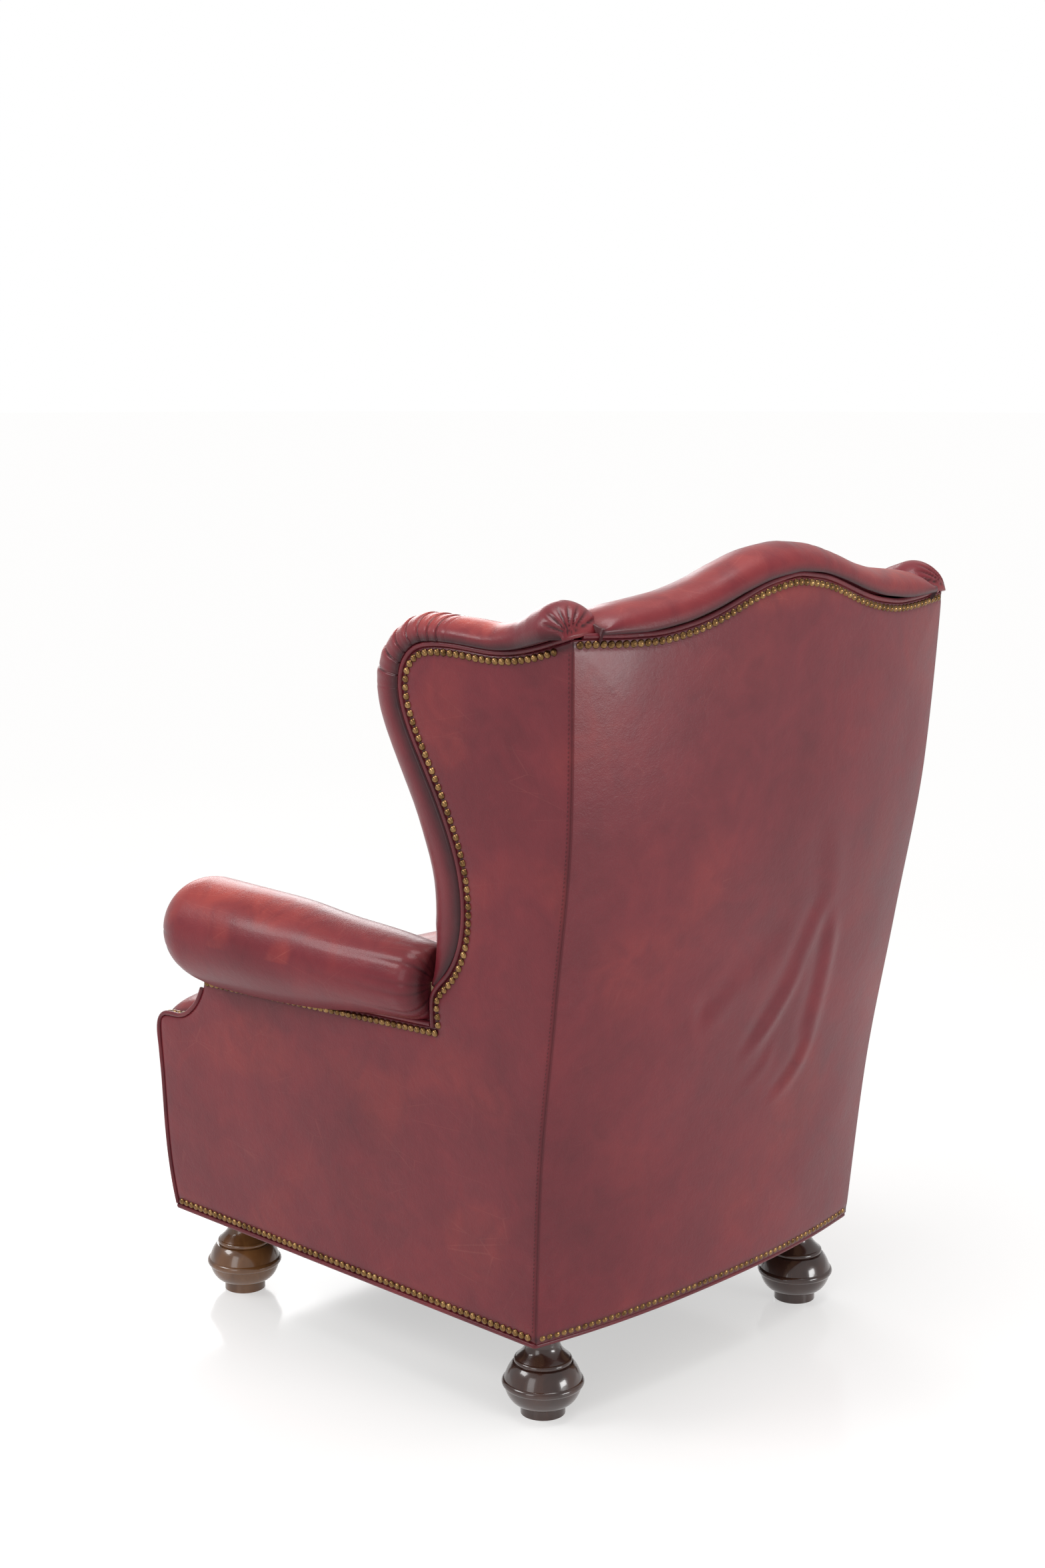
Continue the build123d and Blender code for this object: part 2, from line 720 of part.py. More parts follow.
def make_back():
    """Inside back leather over its stuffing, and the webbing behind."""
    half = side_x(corner_y(corner_top_z), corner_top_z) - arm_wall
    covers, fills = [], []
    strap_face = frame_inset + back_rail_thickness + gap
    behind = strap_face + webbing_thickness + 2 * gap
    low = seat_rear_z + leather_thickness
    post_clear = frame_inset + post_size + 2 * gap
    for x in [half * share for share in span(-1, 1, 15)]:
        def at(points):
            return [Vector(x, y, z) for y, z in points]

        outer = at(back_profile(x, 0))
        inner = at(back_profile(x, leather_thickness))
        fill = at(back_profile(x, leather_thickness + gap))
        covers.append(
            outline_face([outer, [outer[-1], inner[-1]], inner[::-1], [inner[0], outer[0]]])
        )
        back_line = at([
            (min(corner_y(z) - post_clear, back_y(x, z) - behind), z)
            for z in span(low, corner_top_z - edge_gap, 5)
        ])
        ledge = Vector(x, back_line[-1].Y, fill[0].Z)
        fills.append(outline_face(
            [fill, [fill[-1], back_line[0]], back_line, [back_line[-1], ledge], [ledge, fill[0]]]
        ))
    write("inside_back_cover", between_sides(loft(covers), arm_wall + gap))
    write("back_stuffing", between_sides(loft(fills), arm_wall + gap))

    # Upright webbing straps on the rails' fronts
    low_z, high_z = deck_z + lower_rail_height / 3, corner_top_z - crest_rail_height / 2
    sheet = back_slab(low_z, high_z, 0, strap_face, strap_face + webbing_thickness)
    straps = []
    for i in range(-2, 3):
        middle = i * back_strap_pitch
        strip = box_between(
            (middle - webbing_width / 2, -overrun, low_z), (middle + webbing_width / 2, overrun, high_z)
        )
        straps.append(sheet & strip)
    write("back_webbing", *straps)


def seat_profile(share, depth):
    """Outline (y, z) of the seat from the apron's foot over the front roll to the back, moved in by depth."""
    top_share = smooth([row[:2] for row in seat_side_shares], share)
    swell_share = smooth([(row[0], row[2]) for row in seat_side_shares], share)
    roll_top = nose_z + seat_side_rise / 3 + seat_side_rise * top_share
    rise = roll_top - panel_bottom_z
    points = []
    for up, swell in seat_front_shares:
        z = panel_bottom_z + rise * up
        forward = seat_front_swell * swell_share * swell
        points.append((front_edge_y(min(z, nose_z)) - apron_gap - forward, z))
    rear = corner_y(seat_rear_z) - frame_inset - post_size - 3 * gap
    length = rear - front_y
    for back, level, crown in seat_top_shares:
        z = seat_rear_z + (roll_top - seat_rear_z) * level + seat_crown * crown * top_share
        points.append((rear - length * back, z))
    moved = shifted(points, depth)
    moved[-1] = (rear, seat_rear_z - depth)
    moved[0] = (moved[0][0], panel_bottom_z)
    return moved


def make_seat():
    """Seat leather with its front roll and apron, stuffing, hessian, springs and webbing."""
    inset = frame_inset + nose_band_width + 2 * gap
    rail_front_y = apron_y + leather_thickness + front_rail_thickness / 3
    rail_back_y = rail_front_y + front_rail_thickness
    rail_top = foot_height + rail_lift + rail_height + gap
    deck_top = deck_z + hessian_thickness + gap
    covers, fills = [], []
    for share in [row[0] for row in seat_side_shares]:
        def at(points):
            return [Vector(share * (side_x(y, z) - inset), y, z) for y, z in points]

        outer = at(seat_profile(share, 0))
        inner = at(seat_profile(share, leather_thickness))
        fill = at(seat_profile(share, leather_thickness + gap))
        covers.append(
            outline_face([outer, [outer[-1], inner[-1]], inner[::-1], [inner[0], outer[0]]])
        )
        rear = seat_profile(share, 0)[-1][0]
        steps = at([
            (rear, deck_top), (rail_back_y, deck_top), (rail_back_y, rail_top),
            (rail_front_y - gap, rail_top), (rail_front_y - gap, panel_bottom_z),
        ])
        runs = [fill, [fill[-1], steps[0]]]
        runs += [[a, b] for a, b in zip(steps, steps[1:] + [fill[0]])]
        fills.append(outline_face(runs))
    zone = arm_zone()
    cover = loft(covers) - zone - right_of(zone)
    write("seat_cover", cover)
    write("seat_stuffing", loft(fills) - zone - right_of(zone))

    # Hessian between the stay rails, on the springs
    inner_face = frame_inset + post_size + gap
    hessian_rear = corner_y(deck_z) - frame_inset - post_size - gap
    hessian_top = deck_z + hessian_thickness
    hessian = box_between((-overrun, rail_back_y, deck_z), (overrun, hessian_rear, hessian_top))
    write("spring_hessian", between_sides(hessian, inner_face))

    # Webbing under the rails in two layers
    lower_z = foot_height + rail_lift - 2 * webbing_thickness - gap / 3
    upper_z = lower_z + webbing_thickness
    middle_y = (rail_back_y + corner_y(foot_height)) / 2 - post_size
    straps = []
    half_span = side_x(rear_y, foot_height) - frame_inset - post_size / 2
    for i in range(-2, 3):
        y = middle_y + i * spring_y_pitch / 2
        strap = box_between(
            (-half_span, y - webbing_width / 2, upper_z),
            (half_span, y + webbing_width / 2, upper_z + webbing_thickness),
        )
        x = i * spring_x_pitch / 2
        long_strap = box_between(
            (x - webbing_width / 2, rail_front_y, lower_z),
            (x + webbing_width / 2, corner_y(foot_height) - frame_inset, lower_z + webbing_thickness),
        )
        straps += [strap, long_strap]
    write("seat_webbing", *straps)

    # Springs: two coned halves each
    foot_z = upper_z + webbing_thickness + spring_wire / 2
    head_z = deck_z - spring_wire / 2
    springs = []
    spring = coil_spring(head_z - foot_z)
    for i in range(spring_grid):
        for k in range(spring_grid):
            x = (i - (spring_grid - 1) / 2) * spring_x_pitch
            y = middle_y + (k - (spring_grid - 1) / 2) * spring_y_pitch
            springs.append(Pos(x, y, foot_z) * spring)
    write("seat_springs", *springs)


def coil_spring(height):
    """Waisted spring: one wire along half-turn arcs that climb and change radius together."""
    half_turns = 4 * spring_turns
    points = []
    for i in range(half_turns * 4 + 1):
        share = i / (half_turns * 4)
        narrow = 1 - abs(2 * share - 1)
        radius = spring_radius * (1 - (1 - spring_waist_share) * narrow)
        angle = math.pi * half_turns * share
        points.append(Vector(radius * math.cos(angle), radius * math.sin(angle), height * share))
    path = Spline(*points)
    start = Plane(path @ 0, z_dir=path % 0)
    return sweep(start * Circle(spring_wire / 2), path=path, is_frenet=True)


def arm_zone():
    """Space of the left arm that the seat stays out of."""
    edge = shifted(front_points(), -leather_thickness - 1.4 * gap)
    top = edge[-1][1] + nose_rise
    floor = panel_bottom_z - bottom_lift
    runs = [
        [(edge[0][0], floor), edge[0]],
        edge,
        [edge[-1], (edge[-1][0], top)],
        [(edge[-1][0], top), (overall_depth / 2, top)],
        [(overall_depth / 2, top), (overall_depth / 2, floor)],
        [(overall_depth / 2, floor), (edge[0][0], floor)],
    ]
    return side_plate(runs, -post_size, arm_wall + gap)


def make_bands():
    """Leather bands under the front nails, on the boards' front edges."""
    line = front_points()
    inner_line = shifted(line, -gap)
    outer_line = shifted(line, -gap - leather_thickness)
    runs = [inner_line, [inner_line[-1], outer_line[-1]], outer_line[::-1], [outer_line[0], inner_line[0]]]
    band = side_plate(runs, frame_inset, frame_inset + nose_band_width)
    write_pair("front_band", band - arm_roll(gap))


def welt_line(points, depth):
    """Centre line of a welt along an edge of the side panel."""
    return [side_point(y, z, depth) for y, z in shifted(points, -welt_radius - welt_gap)]


def make_welts():
    """Leather welts round the panels."""
    depth = welt_radius / 2
    tack = welt_line([(arm_front_y, tack_front_z), (notch_y, tack_rear_z)], depth)
    notch = welt_line(notch_points(), depth)
    corner = Vector(notch[0].X, notch[0].Y, tack[1].Z)
    up, along = (notch[1] - notch[0]).normalized(), (tack[0] - tack[1]).normalized()
    arm_welt = tube(Line(tack[0], corner + along * (welt_radius + gap)), welt_radius)
    edge = Spline(corner - up * welt_radius, corner + up * welt_radius, *notch[1:])
    wing_welt = tube(arc_path([edge @ share for share in span(0, 1, welt_steps)]), welt_radius)
    write("side_welt_left", arm_welt, wing_welt)
    write("side_welt_right", right_of(arm_welt), right_of(wing_welt))

    front = welt_line(front_points()[:-1], depth)
    front[0] += Vector(0, 0, 3 * gap)
    write_pair("front_welt", tube(Spline(*front), welt_radius))

    half = side_x(corner_y(corner_top_z), corner_top_z) - 2 * welt_reach
    points = []
    for x in span(-half, half, 25):
        z = crest_z(x) + welt_radius + welt_gap
        points.append(Vector(x, back_y(x, z) - depth, z))
    write("crest_welt", tube(Spline(*points), welt_radius))

    z = panel_bottom_z - welt_radius - welt_gap
    rear_x = side_x(rear_y, z) - depth
    front_x = side_x(apron_y, z) - depth
    stations = [rear_x * share for share in span(-1, 1, 9)]
    points = [Vector(x, back_y(x, z) - depth, z) for x in stations]
    points += [Vector(front_x, apron_y + depth, z), Vector(-front_x, apron_y + depth, z)]
    write("base_welt", tube(base_path(points), welt_radius))


def arc_radius(before, point, after):
    """Radius of the arc that rounds the turn at a point between two runs."""
    back, ahead = point - before, after - point
    return 0.45 * min(back.length, ahead.length) / math.tan(math.radians(back.get_angle(ahead)) / 2)


def arc_path(points):
    """Straight runs joined by tangent arcs."""
    radii = [arc_radius(*three) for three in zip(points, points[1:], points[2:])]
    return FilletPolyline(*points, radius=radii)


def base_path(points):
    """Closed loop with small arcs at its four corners."""
    corner_radius = welt_radius + 2 * welt_gap
    radii = [corner_radius] + [0] * (len(points) - 4) + [corner_radius] * 3
    for i in range(1, len(points) - 3):
        radii[i] = arc_radius(*points[i - 1 : i + 2])
    return FilletPolyline(*points, radius=radii, close=True)


def nail_head():
    """Domed head with a flat underside at z = 0."""
    dome = (nail_radius**2 + nail_height**2) / (2 * nail_height)
    ball = Pos(0, 0, nail_height - dome) * Sphere(dome)
    return split(ball, bisect_by=Plane.XY, keep=Keep.TOP)


def nails_along(path, place):
    """Nail heads at an even pitch along a path; place gives each head's plane from a path point."""
    head = nail_head()
    count = max(2, round(path.length / nail_pitch))
    heads = []
    for i in range(count):
        share = (i + 0.5) / count
        heads.append(place(path @ share, path % share).location * head)
    return heads


def make_nails():
    """Close-nailed brass heads beside the welts."""
    lift = gap

    def on_side(point, tangent):
        return Plane(point + left_normal * lift, z_dir=left_normal)

    tack = [(arm_front_y, tack_front_z - nail_inset), (notch_y + nail_inset, tack_rear_z - nail_inset)]
    notch = shifted(notch_points()[:-1], nail_inset)
    heads = []
    for points in (tack, notch):
        heads += nails_along(edge_through([side_point(y, z) for y, z in points]), on_side)
    write("side_nails_left", *heads)
    write("side_nails_right", *[right_of(head) for head in heads])

    # On the bands at the front
    line = shifted(front_points()[:-1], -gap - leather_thickness - lift)
    middle = frame_inset + nose_band_width / 2
    path = Spline(*[side_point(y, z, middle) for y, z in line])
    heads = nails_along(path, lambda point, tangent: Plane(point, z_dir=left_normal.cross(tangent)))
    write("front_nails_left", *heads)
    write("front_nails_right", *[right_of(head) for head in heads])

    def back_plane(x, z):
        small = nail_radius
        across = Vector(2 * small, back_y(x + small, z) - back_y(x - small, z), 0)
        up = Vector(0, back_y(x, z + small) - back_y(x, z - small), 2 * small)
        normal = up.cross(across).normalized()
        return Plane(Vector(x, back_y(x, z), z) + normal * welt_gap, z_dir=normal)

    half = side_x(corner_y(corner_top_z), corner_top_z) - nail_inset
    path = Spline(*[Vector(x, 0, crest_z(x) - nail_inset) for x in span(-half, half, 23)])
    write("crest_nails", *nails_along(path, lambda p, t: back_plane(p.X, p.Z)))

    # Round the base, one row a side
    z = panel_bottom_z + nail_inset * 0.9
    rear = (corner_y(z) - nail_inset, z)
    front = (front_edge_y(z) + nail_inset / 2, z)
    heads = nails_along(Line(side_point(*rear), side_point(*front)), on_side)
    heads += [right_of(head) for head in heads]
    half = side_x(rear_y, z) - nail_inset
    back_row = Line(Vector(-half, 0, z), Vector(half, 0, z))
    heads += nails_along(back_row, lambda p, t: back_plane(p.X, p.Z))
    front_half = side_x(front_y, z) - frame_inset - nose_band_width - 2 * gap
    tilt = Vector(0, front_edge_y(z + nail_radius) - front_edge_y(z - nail_radius), 2 * nail_radius)
    outward = tilt.cross(Vector(1, 0, 0)).normalized() * -1
    row_y = front_edge_y(z) - apron_gap
    front_row = Line(Vector(-front_half, row_y, z), Vector(front_half, row_y, z))
    heads += nails_along(front_row, lambda p, t: Plane(p + outward * welt_gap, z_dir=outward))
    write("base_nails", *heads)


def make_dust_cover():
    """Black cloth under the frame, with holes for the feet."""
    top = foot_height - gap / 3
    inset = frame_inset + post_size / 3
    rear = corner_y(foot_height) - inset
    front = front_y + front_lean + inset
    cloth = box_between((-overrun, front, top - cloth_thickness), (overrun, rear, top))
    cloth = between_sides(cloth, inset)
    hole_radius = foot_radius * foot_cove_shares[-1][0] + 3 * gap
    for _, y in foot_rows():
        for x in (foot_x(y), -foot_x(y)):
            cloth = cloth - Pos(x, y, foot_height) * Cylinder(hole_radius, bottom_lift)
    write("dust_cover", cloth)


make_feet()
make_frame()
make_covers()
make_arm_rolls()
make_wings()
make_back()
make_seat()
make_bands()
make_welts()
make_nails()
make_dust_cover()
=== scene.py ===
import math

import bpy
import numpy as np
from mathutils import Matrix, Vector
from mathutils.geometry import delaunay_2d_cdt


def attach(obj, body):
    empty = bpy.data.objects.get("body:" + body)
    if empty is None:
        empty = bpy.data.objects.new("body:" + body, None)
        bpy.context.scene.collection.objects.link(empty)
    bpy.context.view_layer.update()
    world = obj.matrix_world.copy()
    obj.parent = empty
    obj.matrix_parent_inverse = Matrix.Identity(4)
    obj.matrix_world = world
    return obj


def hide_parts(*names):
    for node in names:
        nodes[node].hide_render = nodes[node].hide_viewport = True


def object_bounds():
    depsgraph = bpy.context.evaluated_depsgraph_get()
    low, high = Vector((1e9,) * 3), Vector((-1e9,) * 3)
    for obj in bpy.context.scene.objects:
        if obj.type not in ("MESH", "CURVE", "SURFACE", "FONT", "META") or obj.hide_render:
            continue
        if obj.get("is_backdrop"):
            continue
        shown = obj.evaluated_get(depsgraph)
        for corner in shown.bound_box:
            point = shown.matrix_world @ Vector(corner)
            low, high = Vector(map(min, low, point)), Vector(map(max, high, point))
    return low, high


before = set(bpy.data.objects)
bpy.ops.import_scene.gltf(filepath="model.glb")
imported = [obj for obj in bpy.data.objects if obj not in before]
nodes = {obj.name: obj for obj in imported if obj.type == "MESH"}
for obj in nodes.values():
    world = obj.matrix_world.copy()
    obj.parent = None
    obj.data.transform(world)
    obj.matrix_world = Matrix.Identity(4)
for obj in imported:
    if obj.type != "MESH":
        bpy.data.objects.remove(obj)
cad_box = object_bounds()
MM = 0.001

# Sizes of the chair in millimetres, most of them the CAD model's own
REAR_Y = 285.6
FRONT_Y = -409.0
BASE_DEPTH = 694.6
BASE_HALF = 308.2
FLARE = 43.5
SPREAD = 5.7
RAKE = 96.9
BOTTOM_Z = 118.0
NOSE_Z = 390.0
TACK_Z = 462.0
TACK_RISE = 21.5
NOTCH_TOP_Z = 533.0
TOP_Z = 977.0
HEIGHT = TOP_Z - BOTTOM_Z
NOTCH_Y = 136.0
WING_DEPTH = REAR_Y + RAKE - NOTCH_Y
ARM_Y = -305.0
APRON_RISE = 272.0
APRON_LEAN = 14.0
NOSE_RUN = 104.0
NOSE_RISE = 72.0
CREST_RISE = 47.0
BOW_LOW = 28.0
BOW_MORE = 7.0
WALL = 58.0
WELT = 7.2
WELT_GAP = 0.3
NAIL_INSET = 6.0
PITCH = 10.4
LEATHER = 5.0
BACK_LEATHER = 4.9
NAIL_DIP = 1.3
NAIL_SPREAD = 5.0
NAIL_SHADE = 0.7
SEAM_WIDTH = 1.5
REAR_INSET = 41.0
WING_REACH = 60.0
WING_PROUD = 20.0
ROLL_FRONT_R = 68.0
ROLL_REAR_R = 49.0
ROLL_LIFT_FRONT = 8.0
ROLL_LIFT_REAR = 6.5
DECK_Z = 432.5
SEAT_LOW_Z = 352.0
SEAT_HALF = 300.0
NORMAL = np.array([1.0, SPREAD / BASE_DEPTH, -FLARE / HEIGHT])
NORMAL /= np.linalg.norm(NORMAL)

# Tables of pairs of shares, for the lines that the sizes above scale
RAKE_T = [(0, 0), (0.25, 0.19), (0.5, 0.535), (0.75, 0.872), (1, 1)]
CREST_T = [
    (0, 1.0), (0.12, 0.9), (0.245, 0.65), (0.39, 0.28), (0.53, 0.03),
    (0.68, -0.085), (0.81, -0.064), (0.93, -0.01), (1, 0),
]
WING_T = [
    (0.025, -0.008), (0.108, 0.038), (0.209, 0.128), (0.249, 0.238), (0.234, 0.346), (0.176, 0.45),
    (0.091, 0.552), (-0.007, 0.654), (-0.096, 0.76), (-0.115, 0.818), (-0.094, 0.878),
    (-0.016, 0.923), (0.092, 0.939), (0.305, 0.941), (0.506, 0.937), (0.705, 0.951),
    (0.9, 0.982), (1, 1),
]
NOSE_T = [
    (0.11, 0.015), (0.22, 0.035), (0.36, 0.055), (0.5, 0.1), (0.69, 0.26), (0.84, 0.49), (0.95, 0.75), (1, 1),
]
FRONT_T = [(0, 1), (0.21, 0.29), (0.46, 0.04), (0.75, 0), (0.955, 0)]
REACH_T = [
    (0, 0.2), (0.05, 0.64), (0.12, 0.96), (0.2, 1.0), (0.3, 0.98), (0.4, 0.9), (0.5, 0.87),
    (0.565, 0.88), (0.63, 0.62), (0.71, 0.44), (0.79, 0.42), (0.87, 0.54), (0.93, 0.68), (1, 0.72),
]
PROUD_T = [(0, 0.05), (0.2, 0.2), (0.5, 0.25), (0.7, 0.3), (0.85, 0.35), (0.95, 0.65), (1, 0.95)]


def smooth(table, at):
    """Value of a table of pairs along a curve that never overshoots, for numbers or arrays."""
    xs, ys = np.array(table, float).T
    at = np.asarray(at, float)
    slopes = np.diff(ys) / np.diff(xs)
    inner = np.where(
        slopes[:-1] * slopes[1:] <= 0, 0, 2 * slopes[:-1] * slopes[1:] / (slopes[:-1] + slopes[1:] + 1e-12)
    )
    ends = np.concatenate([[slopes[0]], inner, [slopes[-1]]])
    i = np.clip(np.searchsorted(xs, at, "right") - 1, 0, len(xs) - 2)
    width = xs[i + 1] - xs[i]
    t = np.clip((at - xs[i]) / width, 0, 1)
    value = ys[i] * (1 + 2 * t) * (1 - t) ** 2 + ends[i] * width * t * (1 - t) ** 2
    value = value + ys[i + 1] * t * t * (3 - 2 * t) - ends[i + 1] * width * t * t * (1 - t)
    value = value + np.where(at < xs[0], ends[0] * (at - xs[0]), 0)
    return value + np.where(at > xs[-1], ends[-1] * (at - xs[-1]), 0)


def step(low, high, value):
    """Smooth change from 0 to 1 between two values."""
    t = np.clip((value - low) / (high - low), 0, 1)
    return t * t * (3 - 2 * t)


def unit(vectors):
    """Vectors of length 1."""
    return vectors / np.linalg.norm(vectors, axis=-1, keepdims=True)


def bell(away, width):
    """Bell-shaped fall-off from 1 at zero."""
    return np.exp(-((away / width) ** 2))


def corner_y(z):
    """Rear corner of the left side, at a height."""
    return REAR_Y + RAKE * smooth(RAKE_T, (np.asarray(z) - BOTTOM_Z) / HEIGHT)


def side_x(y, z):
    """Left side's plane."""
    return BASE_HALF + FLARE * (z - BOTTOM_Z) / HEIGHT + SPREAD * (REAR_Y - y) / BASE_DEPTH


def on_side(y, z, out=0.0):
    """Points on the left side's plane, moved outward."""
    y, z, out = np.broadcast_arrays(np.asarray(y, float), np.asarray(z, float), np.asarray(out, float))
    return np.stack([side_x(y, z), y, z], -1) + out[..., None] * NORMAL


def crest_z(x):
    """Top of the back, at a distance from the middle."""
    half = side_x(corner_y(TOP_Z), TOP_Z)
    return TOP_Z + CREST_RISE * smooth(CREST_T, np.minimum(np.abs(x) / half, 1))


def apron_y(z):
    """Front edge of the side below the nose."""
    return FRONT_Y + APRON_LEAN * smooth(FRONT_T, (z - BOTTOM_Z) / APRON_RISE)


def back_y(x, z):
    """Bowed back between the rear corners."""
    bow = BOW_LOW + BOW_MORE * (z - BOTTOM_Z) / HEIGHT
    share = np.minimum(np.abs(x) / side_x(corner_y(z), z), 1)
    return corner_y(z) + bow * (1 - share**2.4)


def waves(points, scale, seed):
    """Soft noise between about -1 and 1, from a few slanting waves."""
    own = np.random.default_rng(seed)
    total = np.zeros(points.shape[:-1])
    for _ in range(9):
        direction = own.normal(size=3)
        direction /= np.linalg.norm(direction)
        size = own.uniform(0.6, 1.7) * 2 * math.pi / scale
        total += np.sin(points @ direction * size + own.uniform(0, 2 * math.pi))
    return total / 4


def curve_through(points, count):
    """Smooth curve through points, evenly resampled; points of any dimension."""
    p = np.array(points, float)
    t = np.concatenate([[0], np.cumsum(np.linalg.norm(np.diff(p, axis=0), axis=1) ** 0.5)])
    n = len(p)
    h = np.diff(t)
    matrix = np.zeros((n, n))
    right = np.zeros_like(p)
    matrix[0, 0] = matrix[-1, -1] = 1
    for i in range(1, n - 1):
        matrix[i, i - 1 : i + 2] = h[i - 1], 2 * (h[i - 1] + h[i]), h[i]
        right[i] = 6 * ((p[i + 1] - p[i]) / h[i] - (p[i] - p[i - 1]) / h[i - 1])
    m = np.linalg.solve(matrix, right)
    fine = np.linspace(0, t[-1], 40 * n)
    i = np.clip(np.searchsorted(t, fine, "right") - 1, 0, n - 2)
    a, b = ((t[i + 1] - fine) / h[i])[:, None], ((fine - t[i]) / h[i])[:, None]
    hh = (h[i] ** 2)[:, None] / 6
    out = a * p[i] + b * p[i + 1] + (a**3 - a) * m[i] * hh + (b**3 - b) * m[i + 1] * hh
    length = np.concatenate([[0], np.cumsum(np.linalg.norm(np.diff(out, axis=0), axis=1))])
    wanted = np.linspace(0, length[-1], count)
    return np.stack([np.interp(wanted, length, out[:, k]) for k in range(out.shape[1])], -1)


def run_length(points):
    """Length along a line up to each of its points."""
    return np.concatenate([[0], np.cumsum(np.linalg.norm(np.diff(points, axis=0), axis=1))])


# Outlines on the side plane, as (y, z)
wing_line = [(NOTCH_Y + WING_DEPTH * a, NOTCH_TOP_Z + (TOP_Z - NOTCH_TOP_Z) * b) for a, b in WING_T]
notch_line = [(NOTCH_Y, 483.5), (NOTCH_Y, 505.8), (NOTCH_Y + 1, 520.6)] + wing_line
front_line = [(FRONT_Y + APRON_LEAN * b, BOTTOM_Z + APRON_RISE * a) for a, b in FRONT_T]
front_line += [(FRONT_Y + 3.2, NOSE_Z - 3.2)]
front_line += [(FRONT_Y + NOSE_RUN * a, NOSE_Z + NOSE_RISE * b) for a, b in NOSE_T]
rear_line = [(float(corner_y(z)), z) for z in np.linspace(TOP_Z, BOTTOM_Z, 40)]


# Materials
SCRATCH = (0.55, 0.2, 0.15)
# Colour of the painted shade in creases, seams and nail rows
SHADE_COLOUR = (0.016, 0.003, 0.005)
LEATHER_ROUGHNESS = 0.38
ROUGHNESS_SPREAD = 0.09


class Paint:
    """A material, with short ways to add its nodes."""

    def __init__(self, name):
        self.material = bpy.data.materials.new(name)
        self.material.use_nodes = True
        self.tree = self.material.node_tree
        self.shader = self.tree.nodes["Principled BSDF"]
        self.place = self.node("ShaderNodeTexCoord").outputs["Object"]

    def put(self, slot, value):
        """A number, a colour or another node's output into an input."""
        if hasattr(value, "links"):
            self.tree.links.new(value, slot)
        else:
            slot.default_value = value

    def node(self, kind, **inputs):
        made = self.tree.nodes.new(kind)
        for key, value in inputs.items():
            self.put(made.inputs[key], value)
        return made

    def noise(self, scale, detail, distortion=0.0):
        made = self.node("ShaderNodeTexNoise", Scale=scale, Detail=detail, Distortion=distortion)
        self.put(made.inputs["Vector"], self.place)
        return made.outputs["Fac"]

    def ramp(self, value, stops):
        made = self.node("ShaderNodeValToRGB", Fac=value)
        while len(made.color_ramp.elements) < len(stops):
            made.color_ramp.elements.new(0.5)
        for element, (at, colour) in zip(made.color_ramp.elements, stops):
            element.position = at
            element.color = (*colour, 1) if isinstance(colour, tuple) else (colour, colour, colour, 1)
        return made.outputs["Color"]

    def mix(self, amount, a, b):
        made = self.node("ShaderNodeMix")
        made.data_type = "RGBA"
        for slot, value in ((0, amount), (6, a), (7, b)):
            self.put(made.inputs[slot], (*value, 1) if isinstance(value, tuple) else value)
        return made.outputs[2]

    def maths(self, kind, *values, clamp=False):
        made = self.node("ShaderNodeMath")
        made.operation = kind
        made.use_clamp = clamp
        for slot, value in zip(made.inputs, values):
            self.put(slot, value)
        return made.outputs[0]

    def finish(self, colour, rough, height, strength, distance):
        """Colour, roughness and bump into the shader."""
        bump = self.node("ShaderNodeBump", Strength=strength, Distance=distance, Height=height)
        self.put(self.shader.inputs["Base Color"], colour)
        self.put(self.shader.inputs["Roughness"], rough)
        self.put(self.shader.inputs["Normal"], bump.outputs["Normal"])
        return self.material


